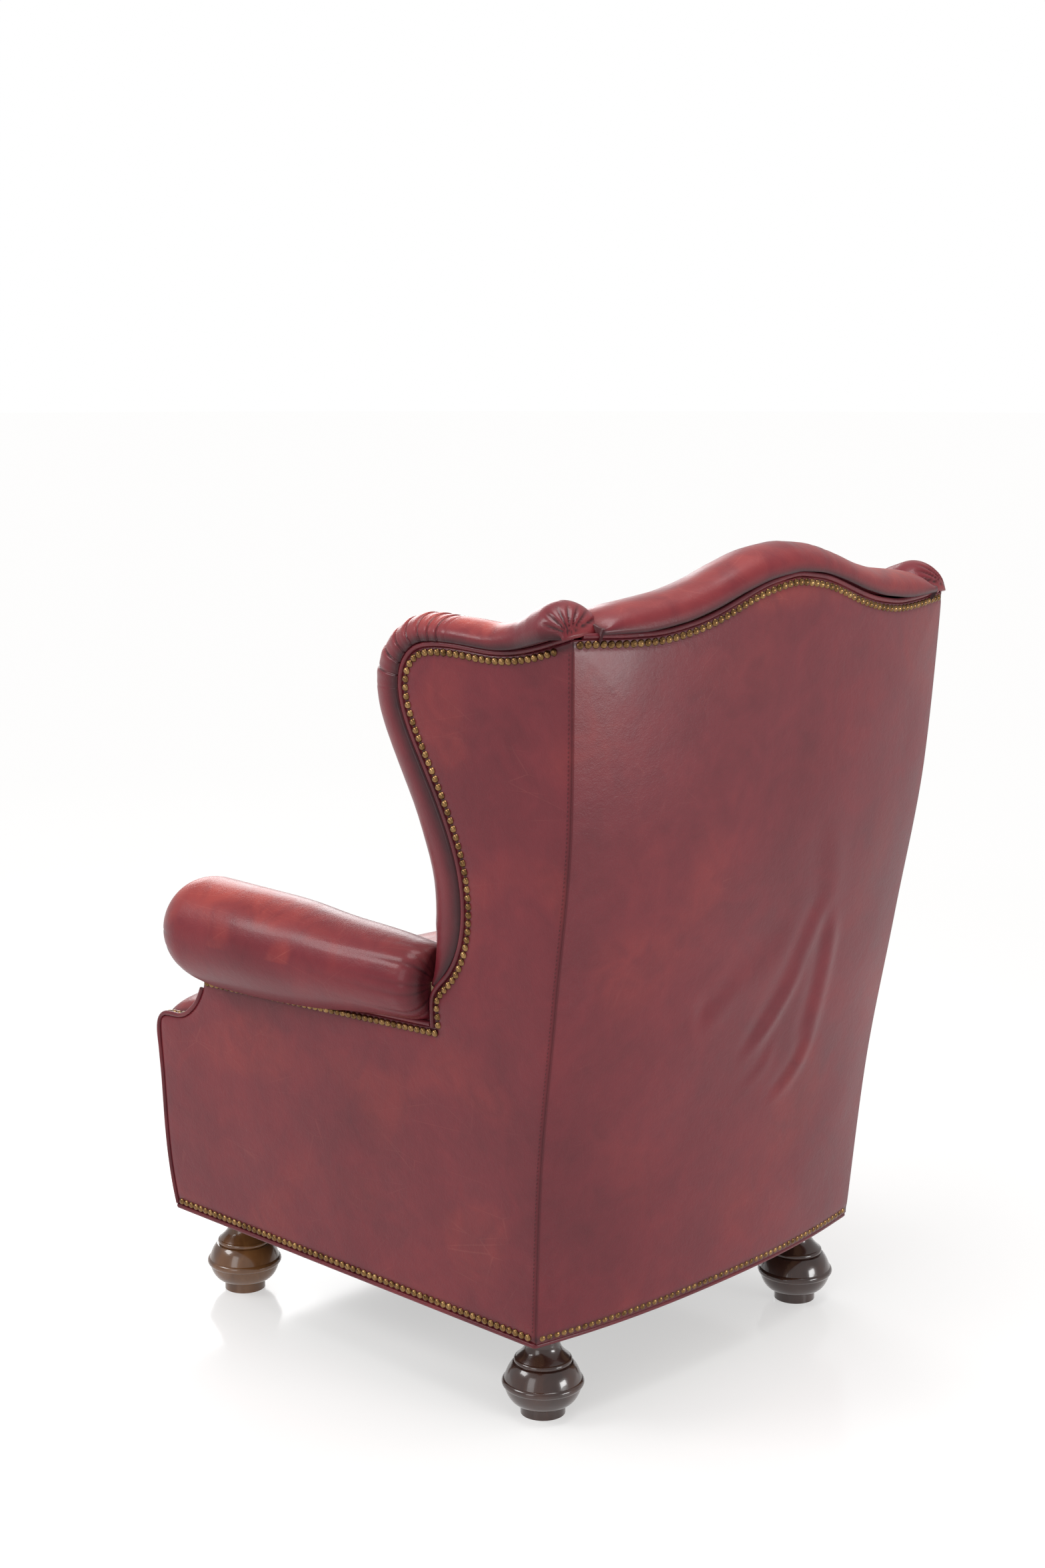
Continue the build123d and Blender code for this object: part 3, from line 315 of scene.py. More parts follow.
def leather(name, deep, mid, light, wear_and_sheen):
    """Waxed, hand-tipped leather. The mesh may carry dark amounts, painted shade in creases, seams and nail
    rows, and worn amounts, rubbed wear that on the tops of the rolls also stands for a painted highlight.
    """
    paint = Paint(name)
    paint.shader.inputs["Specular IOR Level"].default_value = 0.24
    paint.shader.inputs["Coat Weight"].default_value = 0.12
    paint.shader.inputs["Coat Roughness"].default_value = 0.16
    node, noise, ramp, mix, maths = paint.node, paint.noise, paint.ramp, paint.mix, paint.maths
    broad = noise(5.5, 3, distortion=0.6)
    middle = noise(19, 4, distortion=1.2)
    small = noise(75, 5, distortion=0.4)
    blend = maths("ADD", maths("MULTIPLY", broad, 0.55), maths("MULTIPLY", middle, 0.33))
    blend = maths("ADD", blend, maths("MULTIPLY", small, 0.14))
    colour = ramp(blend, [(0.3, deep), (0.52, mid), (0.74, light)])

    # Paler rubbed wear from the mesh; on the tops of the rolls the same amount also paints a highlight
    amount = node("ShaderNodeAttribute")
    amount.attribute_name = "wear_and_sheen"
    wear_and_sheen_mask = maths("MULTIPLY", amount.outputs["Fac"], ramp(middle, [(0.3, 0.35), (0.62, 1.0)]))
    colour = mix(wear_and_sheen_mask, colour, wear_and_sheen)

    # Fine pale scratches, long cells stretched along two ways and broken up
    lines = []
    for turn, scale in ((0.5, 34.0), (-0.9, 27.0)):
        rotation = (turn, turn * 1.7, turn * 0.6)
        mapping = node("ShaderNodeMapping", Vector=paint.place, Rotation=rotation, Scale=(1.0, 0.16, 0.5))
        cells = node("ShaderNodeTexVoronoi", Vector=mapping.outputs["Vector"], Scale=scale)
        cells.feature = "DISTANCE_TO_EDGE"
        lines.append(ramp(cells.outputs["Distance"], [(0.0, 1.0), (0.008, 0.0)]))
    scratch = maths("MAXIMUM", lines[0], lines[1])
    gate = maths("MULTIPLY", ramp(noise(11, 3), [(0.56, 0.0), (0.68, 1.0)]), 0.05)
    rub_gate = maths("ADD", gate, maths("MULTIPLY", wear_and_sheen_mask, 0.2))
    scratch = maths("MULTIPLY", scratch, rub_gate, clamp=True)
    colour = mix(scratch, colour, SCRATCH)

    # Painted shade: the mesh's dark amount darkens the colour in creases, seams, pleat grooves and along the
    # nail rows, broken up a little by noise
    hollow = node("ShaderNodeAttribute")
    hollow.attribute_name = "dark"
    patchy = maths("ADD", maths("MULTIPLY", small, 0.5), 0.72)
    shade_amount = maths("MULTIPLY", hollow.outputs["Fac"], patchy, clamp=True)
    colour = mix(shade_amount, colour, SHADE_COLOUR)

    rough = maths("ADD", maths("MULTIPLY", middle, 0.16), LEATHER_ROUGHNESS - ROUGHNESS_SPREAD)
    rough = maths("ADD", rough, maths("MULTIPLY", wear_and_sheen_mask, 0.08))

    pores = node("ShaderNodeTexVoronoi", Vector=paint.place, Scale=620.0, Randomness=1.0)
    wrinkle = noise(150, 6, distortion=0.9)
    height = maths("ADD", maths("MULTIPLY", pores.outputs["Distance"], 0.3), wrinkle)
    height = maths("ADD", height, maths("MULTIPLY", noise(42, 3, distortion=0.5), 1.2))
    height = maths("SUBTRACT", height, maths("MULTIPLY", scratch, 0.5))
    return paint.finish(colour, rough, height, 0.3, 0.0009)


def plain(name, colours, roughness, metallic=0.0, scales=(8, 60), stretch=(1, 1, 1), bump_size=0.0002):
    """Two- or three-tone material with a noise grain: wood, brass, cloth and steel."""
    paint = Paint(name)
    paint.shader.inputs["Metallic"].default_value = metallic
    paint.place = paint.node("ShaderNodeMapping", Vector=paint.place, Scale=stretch).outputs["Vector"]
    broad, fine = [paint.noise(scale, 6, 0.8) for scale in scales]
    total = paint.maths("MULTIPLY_ADD", fine, 0.35, paint.maths("MULTIPLY", broad, 0.65))
    last = len(colours) - 1
    tones = paint.ramp(total, [(0.34 + 0.32 * i / last, colour) for i, colour in enumerate(colours)])
    rough = paint.maths("MULTIPLY_ADD", fine, 0.18, roughness - ROUGHNESS_SPREAD)
    return paint.finish(tones, rough, fine, 0.4, bump_size)


DEEP, MID, LIGHT = (0.092, 0.009, 0.015), (0.128, 0.013, 0.02), (0.17, 0.018, 0.024)
# Colour of rubbed wear, which on the roll tops also stands for a painted highlight
WEAR_SHEEN_COLOUR = (0.33, 0.045, 0.03)
hide = leather("leather_waxed", DEEP, MID, LIGHT, WEAR_SHEEN_COLOUR)
welt_hide = leather("leather_welt", (0.05, 0.006, 0.01), (0.11, 0.014, 0.02), (0.17, 0.02, 0.026), WEAR_SHEEN_COLOUR)
WALNUT = {"roughness": 0.22, "scales": (9, 60), "stretch": (1, 1, 0.2)}
DARK_WALNUT = [(0.02, 0.008, 0.006), (0.035, 0.013, 0.009), (0.055, 0.02, 0.012)]
GOLD_WALNUT = [(0.05, 0.018, 0.007), (0.11, 0.042, 0.013), (0.17, 0.07, 0.022)]
dark_wood = plain("walnut_dark", DARK_WALNUT, **WALNUT)
gold_wood = plain("walnut_golden", GOLD_WALNUT, **WALNUT)
for wood in (dark_wood, gold_wood):
    wood.node_tree.nodes["Principled BSDF"].inputs["Coat Weight"].default_value = 0.5
brass = plain(
    "brass_antique", [(0.06, 0.03, 0.012), (0.19, 0.105, 0.042), (0.32, 0.19, 0.08)], 0.27, 1.0, (55, 420),
)
beech = plain("beech_raw", [(0.3, 0.19, 0.1), (0.42, 0.28, 0.16)], 0.6, scales=(20, 200), stretch=(1, 0.2, 1))
jute = plain("jute", [(0.22, 0.16, 0.09), (0.36, 0.28, 0.17)], 0.85, scales=(90, 700), bump_size=0.0006)
steel = plain("spring_steel", [(0.25, 0.24, 0.22), (0.4, 0.39, 0.37)], 0.4, 1.0, (30, 300))
black_cloth = plain("black_cloth", [(0.008, 0.008, 0.008), (0.016, 0.016, 0.016)], 0.9, scales=(200, 1400))
thread = plain("thread", [(0.02, 0.004, 0.005), (0.05, 0.01, 0.012)], 0.8, scales=(300, 1500))


# Meshes
def turned(faces):
    """The same faces, seen from their other side."""
    return [tuple(reversed(face)) for face in faces]


def piece(name, points, faces, material, amounts=None, mirror=False, replaced=()):
    """One object from points in millimetres. Mirror puts it on the sitter's right."""
    points = np.array(points, float)
    if mirror:
        points = points * [-1, 1, 1]
        faces = turned(faces)
    mesh = bpy.data.meshes.new(name)
    mesh.from_pydata((points * MM).tolist(), [], [tuple(map(int, face)) for face in faces])
    mesh.polygons.foreach_set("use_smooth", [True] * len(mesh.polygons))
    for key, values in (amounts or {}).items():
        layer = mesh.attributes.new(key, "FLOAT", "POINT")
        layer.data.foreach_set("value", np.clip(values, 0, 1).astype(np.float32))
    mesh.materials.append(material)
    mesh.validate()
    made = bpy.data.objects.new(name, mesh)
    bpy.context.scene.collection.objects.link(made)
    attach(made, "root")
    if replaced:
        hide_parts(*replaced)
    return made


def pair(name, points, faces, material, amounts=None, replaced=()):
    """The piece and its mirror image."""
    for side in ("left", "right"):
        names = [f"{node}_{side}" for node in replaced]
        piece(f"{name}_{side}", points, faces, material, amounts, side == "right", names)


def loops(count_u, count_v):
    """Faces between count_u closed rings of count_v points, with open ends."""
    faces = []
    for i in range(count_u - 1):
        a = i * count_v
        faces += [
            (a + j, a + (j + 1) % count_v, a + count_v + (j + 1) % count_v, a + count_v + j)
            for j in range(count_v)
        ]
    return faces


def capped(rings):
    """Points and faces of stacked closed rings with a centre point at each end."""
    rings = np.asarray(rings)
    count_u, count_v = rings.shape[:2]
    points = rings.reshape(-1, 3)
    first, last = len(points), len(points) + 1
    points = np.vstack([points, rings[0].mean(0), rings[-1].mean(0)])
    faces = loops(count_u, count_v)
    top = (count_u - 1) * count_v
    faces += [(first, (j + 1) % count_v, j) for j in range(count_v)]
    faces += [(last, top + j, top + (j + 1) % count_v) for j in range(count_v)]
    return points, faces


def with_ends(field):
    """Amounts on rings, with those of the two end points added."""
    field = np.asarray(field)
    return np.concatenate([field.reshape(-1), [field[0].mean(), field[-1].mean()]])


def inside(polygon, points):
    """Which points lie in the polygon."""
    hit = np.zeros(len(points), bool)
    a, b = polygon, np.roll(polygon, -1, 0)
    for (ya, za), (yb, zb) in zip(a, b):
        cross = (za > points[:, 1]) != (zb > points[:, 1])
        if cross.any():
            at = (yb - ya) * (points[:, 1] - za) / (zb - za + 1e-12) + ya
            hit ^= cross & (points[:, 0] < at)
    return hit


def resampled(runs, spacing):
    """Closed outline from runs of points, each run a smooth curve or a straight line."""
    outline = []
    for run in runs:
        run = np.array(run, float)
        length = np.linalg.norm(np.diff(run, axis=0), axis=1).sum()
        count = max(2, int(length / spacing) + 1)
        line = curve_through(run, count) if len(run) > 2 else np.linspace(run[0], run[-1], count)
        outline.append(line[:-1])
    return np.vstack(outline)


def sheet_of(runs, spacing=9.0, rings=(3.0, 6.0, 10.0, 15.0)):
    """Flat triangulation of an outline: points, triangles, boundary order, distance to the edge."""
    outline = resampled(runs, 5.0)
    ahead = np.roll(outline, -1, 0) - np.roll(outline, 1, 0)
    across = np.stack([-ahead[:, 1], ahead[:, 0]], -1) / np.linalg.norm(ahead, axis=1)[:, None]
    if not inside(outline, outline[:1] + across[:1] * 1.5)[0]:
        across = -across

    def distance(points):
        return np.min(np.linalg.norm(points[:, None] - outline[None], axis=2), axis=1)

    extra = []
    for depth in rings:
        moved = outline + across * depth
        keep = inside(outline, moved) & (distance(moved) > depth * 0.93)
        extra.append(moved[keep])
    low, high = outline.min(0), outline.max(0)
    ys, zs = np.arange(low[0], high[0], spacing), np.arange(low[1], high[1], spacing * 0.87)
    grid = np.stack(np.meshgrid(ys, zs, indexing="ij"), -1)
    grid[:, 1::2, 0] += spacing / 2
    grid = grid.reshape(-1, 2)
    grid = grid[inside(outline, grid)]
    grid = grid[distance(grid) > rings[-1] + spacing * 0.6]
    points = np.vstack([outline] + extra + [grid])
    count = len(outline)
    edges = [(i, (i + 1) % count) for i in range(count)]
    done = delaunay_2d_cdt([Vector(p) for p in points], edges, [], 1, 1e-4, True)
    points = np.array([tuple(p) for p in done[0]])
    origin = {old: new for new, group in enumerate(done[3]) for old in group}
    boundary = [origin[i] for i in range(count)]
    triangles = []
    middles = np.array([points[list(face)].mean(0) for face in done[2]])
    for face in (face for face, kept in zip(done[2], inside(outline, middles)) if kept):
        a, b, c = points[list(face[:3])]
        turn = (b[0] - a[0]) * (c[1] - a[1]) - (b[1] - a[1]) * (c[0] - a[0])
        if abs(turn) > 0.05:
            triangles.append(tuple(face) if turn > 0 else tuple(reversed(face)))
    area = np.sum(outline[:, 0] * np.roll(outline[:, 1], -1) - np.roll(outline[:, 0], -1) * outline[:, 1])
    if area < 0:
        boundary = boundary[::-1]
    return points, triangles, boundary, distance(points)


def side_board(sheet, top, bottom):
    """Closed board from a flat sheet on the left side, between two heights above the plane."""
    flat, triangles, boundary = sheet[:3]
    count = len(flat)
    points = np.vstack([on_side(flat[:, 0], flat[:, 1], top), on_side(flat[:, 0], flat[:, 1], bottom)])
    faces = list(triangles) + [tuple(i + count for i in reversed(face)) for face in triangles]
    for a, b in zip(boundary, boundary[1:] + boundary[:1]):
        faces.append((b, a, a + count, b + count))
    return points, faces


def unit_across(line):
    """Unit directions across a flat line, to the left of the way it runs."""
    ahead = unit(np.gradient(line, axis=0))
    return np.stack([-ahead[:, 1], ahead[:, 0]], -1)


def near_line(points, line):
    """Distance to a line of points, and the run along it at the nearest place."""
    line = np.asarray(line)
    gaps = np.linalg.norm(points[:, None] - line[None], axis=2)
    best = gaps.argmin(1)
    return gaps[np.arange(len(points)), best], run_length(line)[best]


def nail_press(distance, run):
    """How far close nails pull the leather in along their row."""
    dip = bell(distance - NAIL_INSET, NAIL_SPREAD)
    return -NAIL_DIP * dip * (0.75 + 0.25 * np.cos(2 * math.pi * run / PITCH))


# Outside side panels
side_runs = [
    [(float(corner_y(BOTTOM_Z)), BOTTOM_Z), front_line[0]], front_line, [front_line[-1], notch_line[0]],
    notch_line, rear_line,
]
sheet = sheet_of(side_runs)
flat, depth = sheet[0], sheet[3]
spots = on_side(flat[:, 0], flat[:, 1])
upper = curve_through(notch_line, 260)
tack = np.linspace([ARM_Y, TACK_Z], notch_line[0], 200)
base = np.linspace([float(corner_y(BOTTOM_Z)), BOTTOM_Z], front_line[0], 200)
pull = np.zeros(len(spots))
shade = np.zeros(len(spots))
# The nails pull the leather in; painted shade darkens along the nail rows and in the rear corner seam
for line in (upper, tack, base):
    gap_to, run = near_line(flat, line)
    pull += nail_press(gap_to, run)
    shade = np.maximum(shade, NAIL_SHADE * bell(gap_to - 5, NAIL_SPREAD))
seam_gap = corner_y(flat[:, 1]) - flat[:, 0]
shade = np.maximum(shade, 0.25 * bell(seam_gap, SEAM_WIDTH))
puff = 0.2 + 1.0 * (1 - np.exp(-depth / 26.0)) + 0.5 * waves(spots, 210.0, 4) * step(8, 60, depth)
puff -= 1.2 * np.exp(-depth / 3.0)
points, faces = side_board(sheet, puff + pull * step(0, 3, depth), -LEATHER)
wear_sheen_amounts = 0.15 * step(0.1, 0.9, waves(spots, 170.0, 8))
pair(
    "side_leather", points, faces, hide,
    {"dark": np.tile(shade, 2), "wear_and_sheen": np.tile(wear_sheen_amounts, 2)}, replaced=["outside_panel"],
)

# Outside back panel, with slack folds low on it
count_u, count_v = 150, 190
u = np.linspace(-1, 1, count_u)[:, None]
u = 0.35 * u + 0.65 * np.sin(u * math.pi / 2)
v = np.linspace(0, 1, count_v)[None, :]
v = v - 0.07 * np.sin(2 * math.pi * v)
x_top = u * (side_x(corner_y(TOP_Z), TOP_Z) - 2)
z = BOTTOM_Z + (crest_z(x_top) - BOTTOM_Z) * v
x = u * (side_x(corner_y(z), z) - SEAM_WIDTH)
grid = np.stack([x, back_y(x, z), z], -1)
to_top = (1 - v) * (crest_z(x_top) - BOTTOM_Z)
to_bottom = z - BOTTOM_Z
to_side = (1 - np.abs(u)) * side_x(corner_y(z), z)
to_edge = np.minimum(np.minimum(to_top, to_bottom), to_side)
out = 0.3 + 1.3 * (1 - np.exp(-to_edge / 30.0))
out = out + 1.6 * (1 - np.exp(-to_top / 34.0))
out = out + nail_press(to_top, x) + nail_press(to_bottom, x)
out = out + 0.9 * waves(grid, 260.0, 21) * step(10, 80, to_edge)
# Each fold's start and end as (x, z), its width and its rise
FOLDS = [
    ((-118, 596), (-30, 440), 14, 2.0), ((-88, 514), (-8, 424), 10, 2.0), ((-150, 572), (-137, 420), 14, 2.7),
    ((-140, 410), (-86, 352), 10, 2.4), ((40, 512), (104, 484), 16, 1.4), ((-60, 560), (36, 512), 26, 1.2),
    ((-112, 700), (-136, 590), 22, 1.2), ((-60, 420), (-20, 380), 9, 1.1),
]
for (xa, za), (xb, zb), width, rise in FOLDS:
    length = math.hypot(xb - xa, zb - za)
    way = ((xb - xa) / length, (zb - za) / length)
    run = (x - xa) * way[0] + (z - za) * way[1]
    across = (z - za) * way[0] - (x - xa) * way[1] + 6 * np.sin(run / length * math.pi)
    fade = step(-30, 25, run) * step(-30, 25, length - run)
    ridge = bell(across, width) - 0.7 * bell(across - 1.5 * width, width)
    out = out + rise * ridge * fade
dimple = bell(x - 93, 13) * bell(z - 497, 15)
hollow = bell(x + 60, 95) * bell(z - 470, 120)
out = out - 2.6 * dimple - 2.0 * hollow
slope_z = (back_y(x, z + 2) - back_y(x, z - 2)) / 4
slope_x = (back_y(x + 2, z) - back_y(x - 2, z)) / 4
normal = unit(np.stack([-slope_x, np.ones_like(x), -slope_z], -1))
front = grid + normal * out[..., None]
rear = grid - normal * BACK_LEATHER
count = count_u * count_v
index = np.arange(count).reshape(count_u, count_v)
faces = []
for i in range(count_u - 1):
    for j in range(count_v - 1):
        a, b, c, d = index[i, j], index[i + 1, j], index[i + 1, j + 1], index[i, j + 1]
        faces += [(a, d, c, b), (a + count, b + count, c + count, d + count)]
ring = list(index[:, 0]) + list(index[-1, 1:]) + list(index[-2::-1, -1]) + list(index[0, -2:0:-1])
faces += [(a, b, b + count, a + count) for a, b in zip(ring, ring[1:] + ring[:1])]
# Painted shade along the nail rows at top and bottom, in the side seams and in the hollow
shade = NAIL_SHADE * (bell(to_top - 5, NAIL_SPREAD) + bell(to_bottom - 5, NAIL_SPREAD))
shade = shade + 0.3 * bell(to_side, SEAM_WIDTH) + 0.1 * hollow
wear_sheen_amounts = 0.12 * step(0.2, 1.0, waves(grid, 200.0, 31))
wear_sheen_amounts = wear_sheen_amounts + 0.4 * bell(x - 20, 120) * step(980, 1010, z)
piece(
    "back_leather", np.vstack([front.reshape(-1, 3), rear.reshape(-1, 3)]), faces, hide,
    {"dark": np.tile(shade.reshape(-1), 2), "wear_and_sheen": np.tile(wear_sheen_amounts.reshape(-1), 2)},
    replaced=["outside_back_panel"],
)

# Wing rolls: one leather tube round the wing's edge, pleated at its front corner and gathered in a knob
KNOB_LENGTH = 30.0
KNOB_STEPS = 26
KNOB_REACH = 36.0
KNOB_OUT = 25.0
ACROSS = 56
PLEAT_PITCH = 14.0
PLEAT_DEPTH = 2.8
FLAP_DEPTH = 14.0
# Each gather's direction in degrees and its length
GATHERS = ((30, 42), (52, 38), (73, 36), (93, 35), (113, 36), (134, 38), (156, 34))
path = curve_through([tuple(p) for p in on_side(*np.array(wing_line).T)], 900)
path_run = run_length(path)
total = path_run[-1]


def on_path(run):
    """Points at given runs along the wing's edge."""
    return np.stack([np.interp(run, path_run, path[:, k]) for k in range(3)], -1)


corner_run = path_run[np.argmax(path[:, 2] - 0.55 * path[:, 1])]
knob_run = total - KNOB_LENGTH
stations = np.unique(np.concatenate([
    np.linspace(0, knob_run, 190), np.linspace(corner_run - 75, corner_run + 75, 150),
    np.linspace(knob_run - 50, knob_run, 40),
]))
turns = np.concatenate([np.zeros(len(stations)), np.linspace(0, math.pi / 2, KNOB_STEPS + 1)[1:]])
stations = np.concatenate([stations, np.full(KNOB_STEPS, knob_run)])
place = on_path(stations)
tangent = unit(on_path(stations + 1) - on_path(stations - 1))
share = stations / total
reach = WING_REACH * smooth(REACH_T, share)
proud = WING_PROUD * smooth(PROUD_T, share) + 6.0 * step(knob_run - 60, knob_run, stations)
outward = unit(np.cross(NORMAL, tangent))
flip = np.where(outward @ np.array([0, -1, 1.0]) < 0, -1, 1)
outward *= flip[:, None]
angles = np.linspace(0, math.pi, ACROSS)
middle, half = (proud - WALL) / 2, (proud + WALL) / 2
rise = reach[:, None] * np.sin(angles)[None, :] ** 0.85
across = middle[:, None] + half[:, None] * np.cos(angles)[None, :]
pleat_run = stations - corner_run
zone = step(-62, -44, pleat_run) * (1 - step(40, 60, pleat_run))
phase = pleat_run[:, None] / PLEAT_PITCH + 0.10 * np.sin(angles * 2)[None, :]
phase = phase + 0.06 * np.sin(pleat_run[:, None] * 0.9)
saw = phase - np.floor(phase)
pleat = zone[:, None] * (2.2 * saw - 1.4 - PLEAT_DEPTH * bell(np.minimum(saw, 1 - saw), 0.09))
pleat = pleat * (0.35 + 0.65 * (1 - step(1.7, 2.8, angles))[None, :])
fine = 0.35 * np.sin(pleat_run / 3.1)[:, None] * bell(angles - 0.5, 0.5)[None, :]
grow = pleat + 0.25 * fine
# The leather dips to the welt on the outside and runs on over the pad on the inside
dip = -2.5 * bell(angles, 0.22)
rise = rise + grow * np.sin(angles)[None, :] * np.minimum(1, reach[:, None] / 30)
across = across + (grow * 0.8 + dip[None, :]) * np.cos(angles)[None, :]
end_at = on_side(path[-1][1], path[-1][2] + WELT, 3.0)
rings = []
flap = np.minimum(24.0, 8 + 0.5 * reach)
for i in range(len(place)):
    lift = rise[i] * math.cos(turns[i]) ** 0.8
    near_outside = bell(angles, 0.5)
    rim = np.cbrt((KNOB_REACH * np.sin(angles) ** 0.4) ** 3 + (KNOB_OUT * near_outside) ** 3)
    back = rim * math.sin(turns[i]) ** 0.9
    sink = 5.0 * math.sin(turns[i]) ** 2
    body = place[i] + outward[i] * (WELT - sink + lift)[:, None]
    body = body + NORMAL * (across[i] - 2.2 * sink * near_outside)[:, None]
    body = body + tangent[i] * back[:, None]
    inner = body[-1] - outward[i] * flap[i]
    deep = inner + NORMAL * FLAP_DEPTH
    back_in = body[0] - NORMAL * (across[i][0] + 4.0)
    rings.append(np.vstack([body, (body[-1] + inner) / 2, inner, deep, (deep + back_in) / 2, back_in]))
rings = np.array(rings)
# Gathers that fan out from the welt's corner up over the knob
away = rings - end_at
sideways = away @ (np.array([-1.0, 1.0, 0.0]) / math.sqrt(2))
height_k = away[..., 2]
toward = away @ (np.array([1.0, 1.0, 0.0]) / math.sqrt(2))
angle_k = np.arctan2(height_k, sideways)
distance_k = np.hypot(height_k, sideways)
fan, petal = np.zeros(angle_k.shape), np.zeros(angle_k.shape)
for degrees, length_k in GATHERS:
    bend_k = 0.12 * math.cos(math.radians(degrees)) * distance_k / 30
    off = angle_k - math.radians(degrees) + bend_k
    reach_k = 1 - step(length_k - 16, length_k, distance_k)
    fan = np.maximum(fan, bell(off, 0.06) * reach_k)
    petal += bell(off - 0.19, 0.12) * reach_k
outer_side = step(-46, -30, toward)
fan, petal = fan * outer_side, petal * outer_side
centre_line = (place + outward * (WELT + reach[:, None] * 0.4) + NORMAL * middle[:, None])[:, None, :]
inward = centre_line - rings
inward /= np.linalg.norm(inward, axis=-1, keepdims=True) + 1e-9
rings = rings + inward * ((2.4 * fan - 0.9 * petal) * step(4, 12, distance_k))[..., None]
points, faces = capped(rings)
# Painted shade by the welt, in the pleat grooves, along the knob's gathers and at the roll's low end
shade = np.zeros(rings.shape[:2])
shade[:, :ACROSS] = 0.9 * bell(angles, 0.2)[None, :]
groove = bell(np.minimum(saw, 1 - saw), 0.06) * zone[:, None]
shade[:, :ACROSS] = np.maximum(shade[:, :ACROSS], 0.85 * groove)
shade = np.maximum(shade, 0.9 * fan)
shade[:12] = np.maximum(shade[:12], 0.6 * np.exp(-np.arange(12) / 4.0)[:, None])
# Wear along the top of the roll, strongest high on the wing, where it also stands for a painted highlight
wear_sheen_amounts = np.zeros(rings.shape[:2])
wear_sheen_amounts[:, :ACROSS] = bell(angles - 1.45, 0.75)[None, :] * (
    0.15 + 0.8 * step(0.55, 0.68, share) * (1 - step(0.82, 0.9, share))
)[:, None]
pair(
    "wing_leather", points, turned(faces), hide,
    {"dark": with_ends(shade), "wear_and_sheen": with_ends(wear_sheen_amounts)}, replaced=["wing_roll"],
)

# Inside wing pads
PAD_LOW_Z = 545.0
wing_curve = curve_through(wing_line, 240)
edge = wing_curve + unit_across(wing_curve) * 6.0
edge = edge[edge[:, 1] > PAD_LOW_Z]
pad_rear = [(float(corner_y(z)) - REAR_INSET, z) for z in np.linspace(edge[-30][1], PAD_LOW_Z, 20)]
pad_runs = [edge[:-30:6].tolist() + [pad_rear[0]], pad_rear, [pad_rear[-1], edge[0].tolist()]]
sheet = sheet_of(pad_runs, 9.0, (4.0, 9.0))
flat, depth = sheet[0], sheet[3]
spots = on_side(flat[:, 0], flat[:, 1])
puff = -WALL - 1.5 - 7.0 * (1 - np.exp(-depth / 22.0))
puff = puff + 0.8 * waves(spots, 120.0, 41) * step(5, 40, depth)
points, faces = side_board(sheet, -34.0, puff)
# Painted shade along the pad's edges
pair(
    "wing_lining", points, faces, hide, {"dark": np.tile(0.5 * np.exp(-depth / 7.0), 2)},
    replaced=["inside_wing_pad"],
)

# Arm rolls, with the leather drawn down to the tacking line and gathered at the notch
ROLL_SET_BACK = 38
SHOULDER = 26.0
REAR_RUN = 20
ROLL_SIDES = 144
HANG = 9.0
SWING = math.radians(96)
TACK_LIFT = 5.5
GATHER_COUNT = 15
FOLD_DEPTH = 1.3
ARM_FOLDS = 9
roll_front_y = ARM_Y + ROLL_SET_BACK
roll_rear_y = NOTCH_Y - WELT - WELT_GAP


def tack_z(y):
    """Line where the arm's leather is tacked to the side."""
    return TACK_Z + TACK_RISE * (y - ARM_Y) / (NOTCH_Y - ARM_Y)


front_z = tack_z(roll_front_y) + ROLL_LIFT_FRONT + ROLL_FRONT_R
rear_z = tack_z(roll_rear_y) + ROLL_LIFT_REAR + ROLL_REAR_R
roll_front = np.array([side_x(roll_front_y, front_z) + 6, roll_front_y, front_z])
roll_rear = np.array([side_x(roll_rear_y, rear_z) - 15, roll_rear_y, rear_z - 3])
axis = roll_front - roll_rear
roll_length = np.linalg.norm(axis)
axis /= roll_length
across_axis = np.array([1.0, 0, 0]) - axis * axis[0]
across_axis /= np.linalg.norm(across_axis)
up_axis = np.cross(across_axis, axis)
up_axis = up_axis if up_axis[2] > 0 else -up_axis
RADIUS_T = [(0, 0), (0.1, 0.17), (0.38, 0.54), (0.55, 0.75), (0.82, 0.97), (1, 1)]
runs = np.concatenate([[0.4, 2, 5, 9, 14], np.linspace(REAR_RUN, roll_length, 110)])
widening = smooth(RADIUS_T, np.maximum(runs - REAR_RUN, 0) / (roll_length - REAR_RUN))
radius = ROLL_REAR_R + (ROLL_FRONT_R - ROLL_REAR_R) * widening
turn = np.clip(1 - runs / SHOULDER, 0, 1)
dome = np.linspace(0, math.pi / 2, 34)[1:-1]
runs = np.append(runs, roll_length + ROLL_FRONT_R * np.sin(dome))
radius = np.append(radius, ROLL_FRONT_R * np.cos(dome))
theta = np.linspace(0, 2 * math.pi, ROLL_SIDES, endpoint=False)
ring_r = np.repeat(radius[:, None], len(theta), 1)
round_off = np.append(1 - np.sqrt(1 - turn**2), np.zeros(len(dome)))
ring_r = ring_r - round_off[:, None] * (7 + 19 * step(-0.1, 0.75, np.cos(theta)))[None, :]
run_g = np.repeat(runs[:, None], len(theta), 1)
theta_g = np.repeat(theta[None, :], len(runs), 0)
